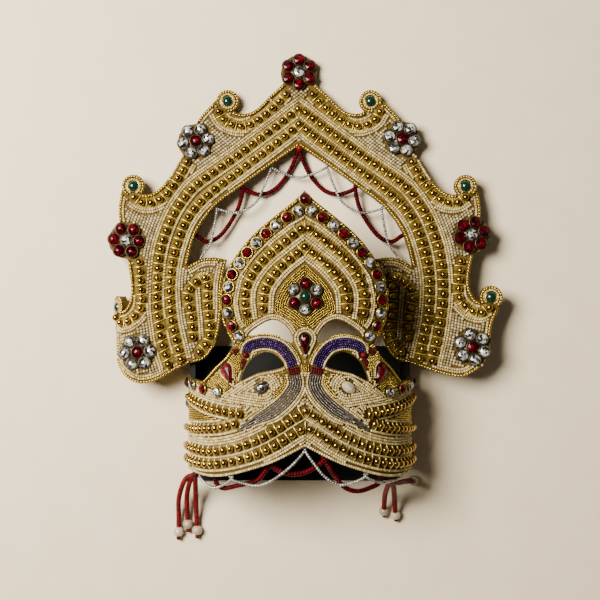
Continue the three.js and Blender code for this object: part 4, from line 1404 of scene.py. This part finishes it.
# %% Strings in the arch and under the band
STRING = dict(red=1.12, silver=0.68, tassel=1.25, pearl=2.4)
ARCH_SWAGS = dict(
    red=dict(drop=5.5, loops=[
        [(0, 70.6), (0, 68.2), (4.6, 57.8), (10.9, 50.3), (17, 47.9), (21.4, 48.6), (25.2, 50.3),
         (26.6, 52.4)],
        [(26.2, 52.6), (25.4, 50.3), (27.8, 41), (34.8, 30), (41.2, 26.3), (45.6, 28.6), (47.8, 30.2)],
    ]),
    silver=dict(drop=2.0, loops=[
        [(13.9, 62), (12.4, 59.9), (6.4, 57.1), (0, 55.4), (-6.4, 57.1), (-12.4, 59.9), (-13.9, 62)],
        [(13, 62.2), (12.6, 59.9), (16, 51), (20, 43.6), (28, 39.4), (36.9, 41), (39, 42.4)],
        [(38.2, 43.2), (37.1, 41), (38.6, 32), (40.4, 24.5), (43.7, 19.9), (44.6, 17.6)],
    ]),
)
BAND_SWAGS = dict(
    red=dict(lift=-3.7, loops=[
        [(-15.4, -66.6), (-16, -68.7), (-20.5, -74.3), (-24, -76.3), (-33, -78.5), (-41, -80.3), (-46, -79.2),
         (-47.5, -76.8), (-47.8, -74.6)],
        [(-17, -66.6), (-16, -68.7), (-10, -71.6), (-4.5, -72.4), (2, -70.8), (9, -66.4), (9.6, -63.8)],
        [(8.4, -63.8), (9, -66.4), (14, -73.5), (19, -78.4), (25.5, -80.2), (33, -79.3), (39.5, -77.6),
         (40, -74.4)],
    ]),
    silver=dict(lift=-1.3, loops=[
        [(0.1, -59.6), (-0.3, -62.4), (-5, -67.8), (-10, -72), (-16, -75.8), (-21.5, -77.4), (-28, -76.7),
         (-34, -75.6), (-34.6, -73.4)],
        [(-33.6, -73.4), (-34, -75.6), (-40, -79), (-47, -80.4), (-53, -79), (-58, -76.9), (-58.4, -74.6)],
        [(-0.1, -59.6), (0.1, -62.4), (3.6, -67.4), (8.4, -73), (14.5, -76.6), (21, -76.2), (28, -73.9),
         (28.6, -71.8)],
        [(27.6, -71.8), (28, -73.9), (34, -76.6), (40, -77.4), (46.5, -77.3), (52.4, -76.8), (52.8, -74.6)],
    ]),
)
ARCH_KNOTS = [((0, 68.6), 0.8, 1.5, TASSEL_SEED), ((25.3, 51), 0.5, 1.2, RED_STRING),
              ((-25.3, 51), 0.5, 1.2, RED_STRING)]
STRING_SEED = dict(red=RED_STRING, silver=SILVER_SEED)
STRING_PITCH = dict(red=1.15, silver=1.7, tassel=1.15)
STRING_BEAD = ball(8, 6)
THREAD = 0.5
THREAD_STEP = 1.5


def string_beads(batch, kind, path, material):
    """Beads on a thread along a way in space."""
    radius = STRING[kind]
    batch.copies(STRING_BEAD, evenly(path, STRING_PITCH[kind] * radius * MM), radius * MM, material)
    batch.strands([evenly(path, THREAD_STEP * MM)], radius * THREAD * MM, material)


def in_halo(y, share):
    """Height of a point within the halo board's thickness."""
    return (HALO["foot"] - y) * HALO["slope"] + HALO["thick"] * share


for name, spec in ARCH_SWAGS.items():
    batch = Batch()
    for loop in spec["loops"]:
        line = smooth(loop)
        t = np.linspace(0, 1, len(line))
        height = in_halo(line[:, 1], 0.5) - spec["drop"] * 4 * t * (1 - t)
        for side in (1, -1) if loop[0][0] * loop[-1][0] >= 0 else (1,):
            path = world(line[:, 0] * side, line[:, 1], height)
            string_beads(batch, name, path, STRING_SEED[name])
    if name == "red":
        for (x, y), share, radius, glass in ARCH_KNOTS:
            batch.copies(BEAD, world(x, y, in_halo(y, share)), radius * MM, glass)
    batch.piece("arch_swag_" + name + "_beads", name + "_string", "arch_swag_" + name)
for name, spec in BAND_SWAGS.items():
    batch = Batch()
    for loop in spec["loops"]:
        line = smooth(loop)
        string_beads(batch, name, front_at(line[:, 0], line[:, 1], spec["lift"]), STRING_SEED[name])
    batch.piece("band_swag_" + name + "_beads", name + "_string", "band_swag_" + name)
print("strings:", {name: TALLY[name] for name in TALLY if "swag" in name})

# %% Tassels
TASSELS = dict(
    left=dict(top=(-46.3, -76.8, 20.5), ways=[
        [(-48.6, -79.5, 16.5), (-50.6, -88, 8), (-50.6, -96, 3.4), (-50.4, -101.8, 2.2)],
        [(-51, -79.6, 16), (-54.2, -89, 7), (-54.5, -98, 3.2), (-54.6, -105.2, 2.2)],
        [(-46.6, -80.5, 16), (-46.6, -89, 7.5), (-46.4, -98, 3.2), (-46.2, -104.6, 2.2)],
    ]),
    right=dict(top=(38.2, -77.8, 33), ways=[
        [(38, -81.5, 24), (38.2, -87.5, 11), (38.7, -95.9, 2.2)],
        [(40.6, -82, 23), (42.6, -89, 10), (43.9, -97.6, 2.2)],
        [(42.4, -79.8, 25), (47.3, -81.2, 11), (52, -82, 2.2)],
    ]),
)
PEARL_BALL = ball(16, 10)
KNOT = 1.4
END_BEAD = dict(size=0.85, gap=0.5)
for side, spec in TASSELS.items():
    batch = Batch()
    batch.copies(BEAD, world(*np.array(spec["top"])), STRING["tassel"] * KNOT * MM, RED_SEED)
    for way in spec["ways"]:
        path = smooth([spec["top"], *way])
        string_beads(batch, "tassel", world(*path[: -int(STRING["pearl"] / FINE)].T), TASSEL_SEED)
        pearl = np.array([*path[-1][:2], STRING["pearl"]])
        batch.copies(PEARL_BALL, world(*pearl), STRING["pearl"] * MM, PEARL)
        onward = unit(path[-1] - path[-4]) * [1, 1, 0]
        end = pearl + onward * (STRING["pearl"] + END_BEAD["gap"])
        batch.copies(BEAD, world(*end), STRING["tassel"] * END_BEAD["size"] * MM, RED_SEED)
    batch.piece("tassel_" + side + "_beads", "red_string", "tassel_" + side)
print("tassels done")

# %% [markdown]
# Table and light
#
# The crown lies on a pale table. One broad lamp stands for a window at the upper left, so the shadows
# fall to the right and a little down, as they do on the real one. A dim even light fills the rest, weak
# enough to leave the hollows between the beads dark.

# %% Table
TABLE_HALF = 1.5
floor = bmesh.new()
bmesh.ops.create_grid(floor, x_segments=1, y_segments=1, size=TABLE_HALF)
floor_mesh = bpy.data.meshes.new("table")
floor.to_mesh(floor_mesh)
floor.free()
table = bpy.data.objects.new("table", floor_mesh)
bpy.context.scene.collection.objects.link(table)
TABLE_STOPS = [(0.3, (0.82, 0.7, 0.505)), (0.7, (0.86, 0.745, 0.55))]
TABLE_TOP = finish("table_top", TABLE_STOPS, 0.6, dust=0.9, scale=60.0)
table.data.materials.append(TABLE_TOP)
print("table laid")

# %% Lamps
ROOM_COLOUR = (1.0, 0.88, 0.7, 1.0)
ROOM_STRENGTH = 0.085
WINDOW = dict(place=Vector((-0.39, 0.23, 0.62)), aim=Vector((-0.03, 0.03, 0.0)), size=0.3, power=17.5,
              colour=(1.0, 0.93, 0.8))
room = bpy.data.worlds.new("room")
room.use_nodes = True
background = room.node_tree.nodes["Background"].inputs
background["Color"].default_value = ROOM_COLOUR
background["Strength"].default_value = ROOM_STRENGTH
bpy.context.scene.world = room
window = bpy.data.lights.new("window", "AREA")
window.size = WINDOW["size"]
window.energy = WINDOW["power"]
window.color = WINDOW["colour"]
window_lamp = bpy.data.objects.new("window", window)
window_lamp.location = WINDOW["place"]
towards = WINDOW["aim"] - WINDOW["place"]
window_lamp.rotation_euler = towards.to_track_quat("-Z", "Y").to_euler()
bpy.context.scene.collection.objects.link(window_lamp)
print("lamp", WINDOW["power"], "W")

# %% [markdown]
# The end
#
# The number of triangles that the beadwork added is printed, with the largest piece. Every piece was
# tied to the crown's one body when it was made.

# %% Triangles, and the end
print("triangles added:", sum(TALLY.values()), "largest:", max(TALLY.items(), key=lambda item: item[1]))
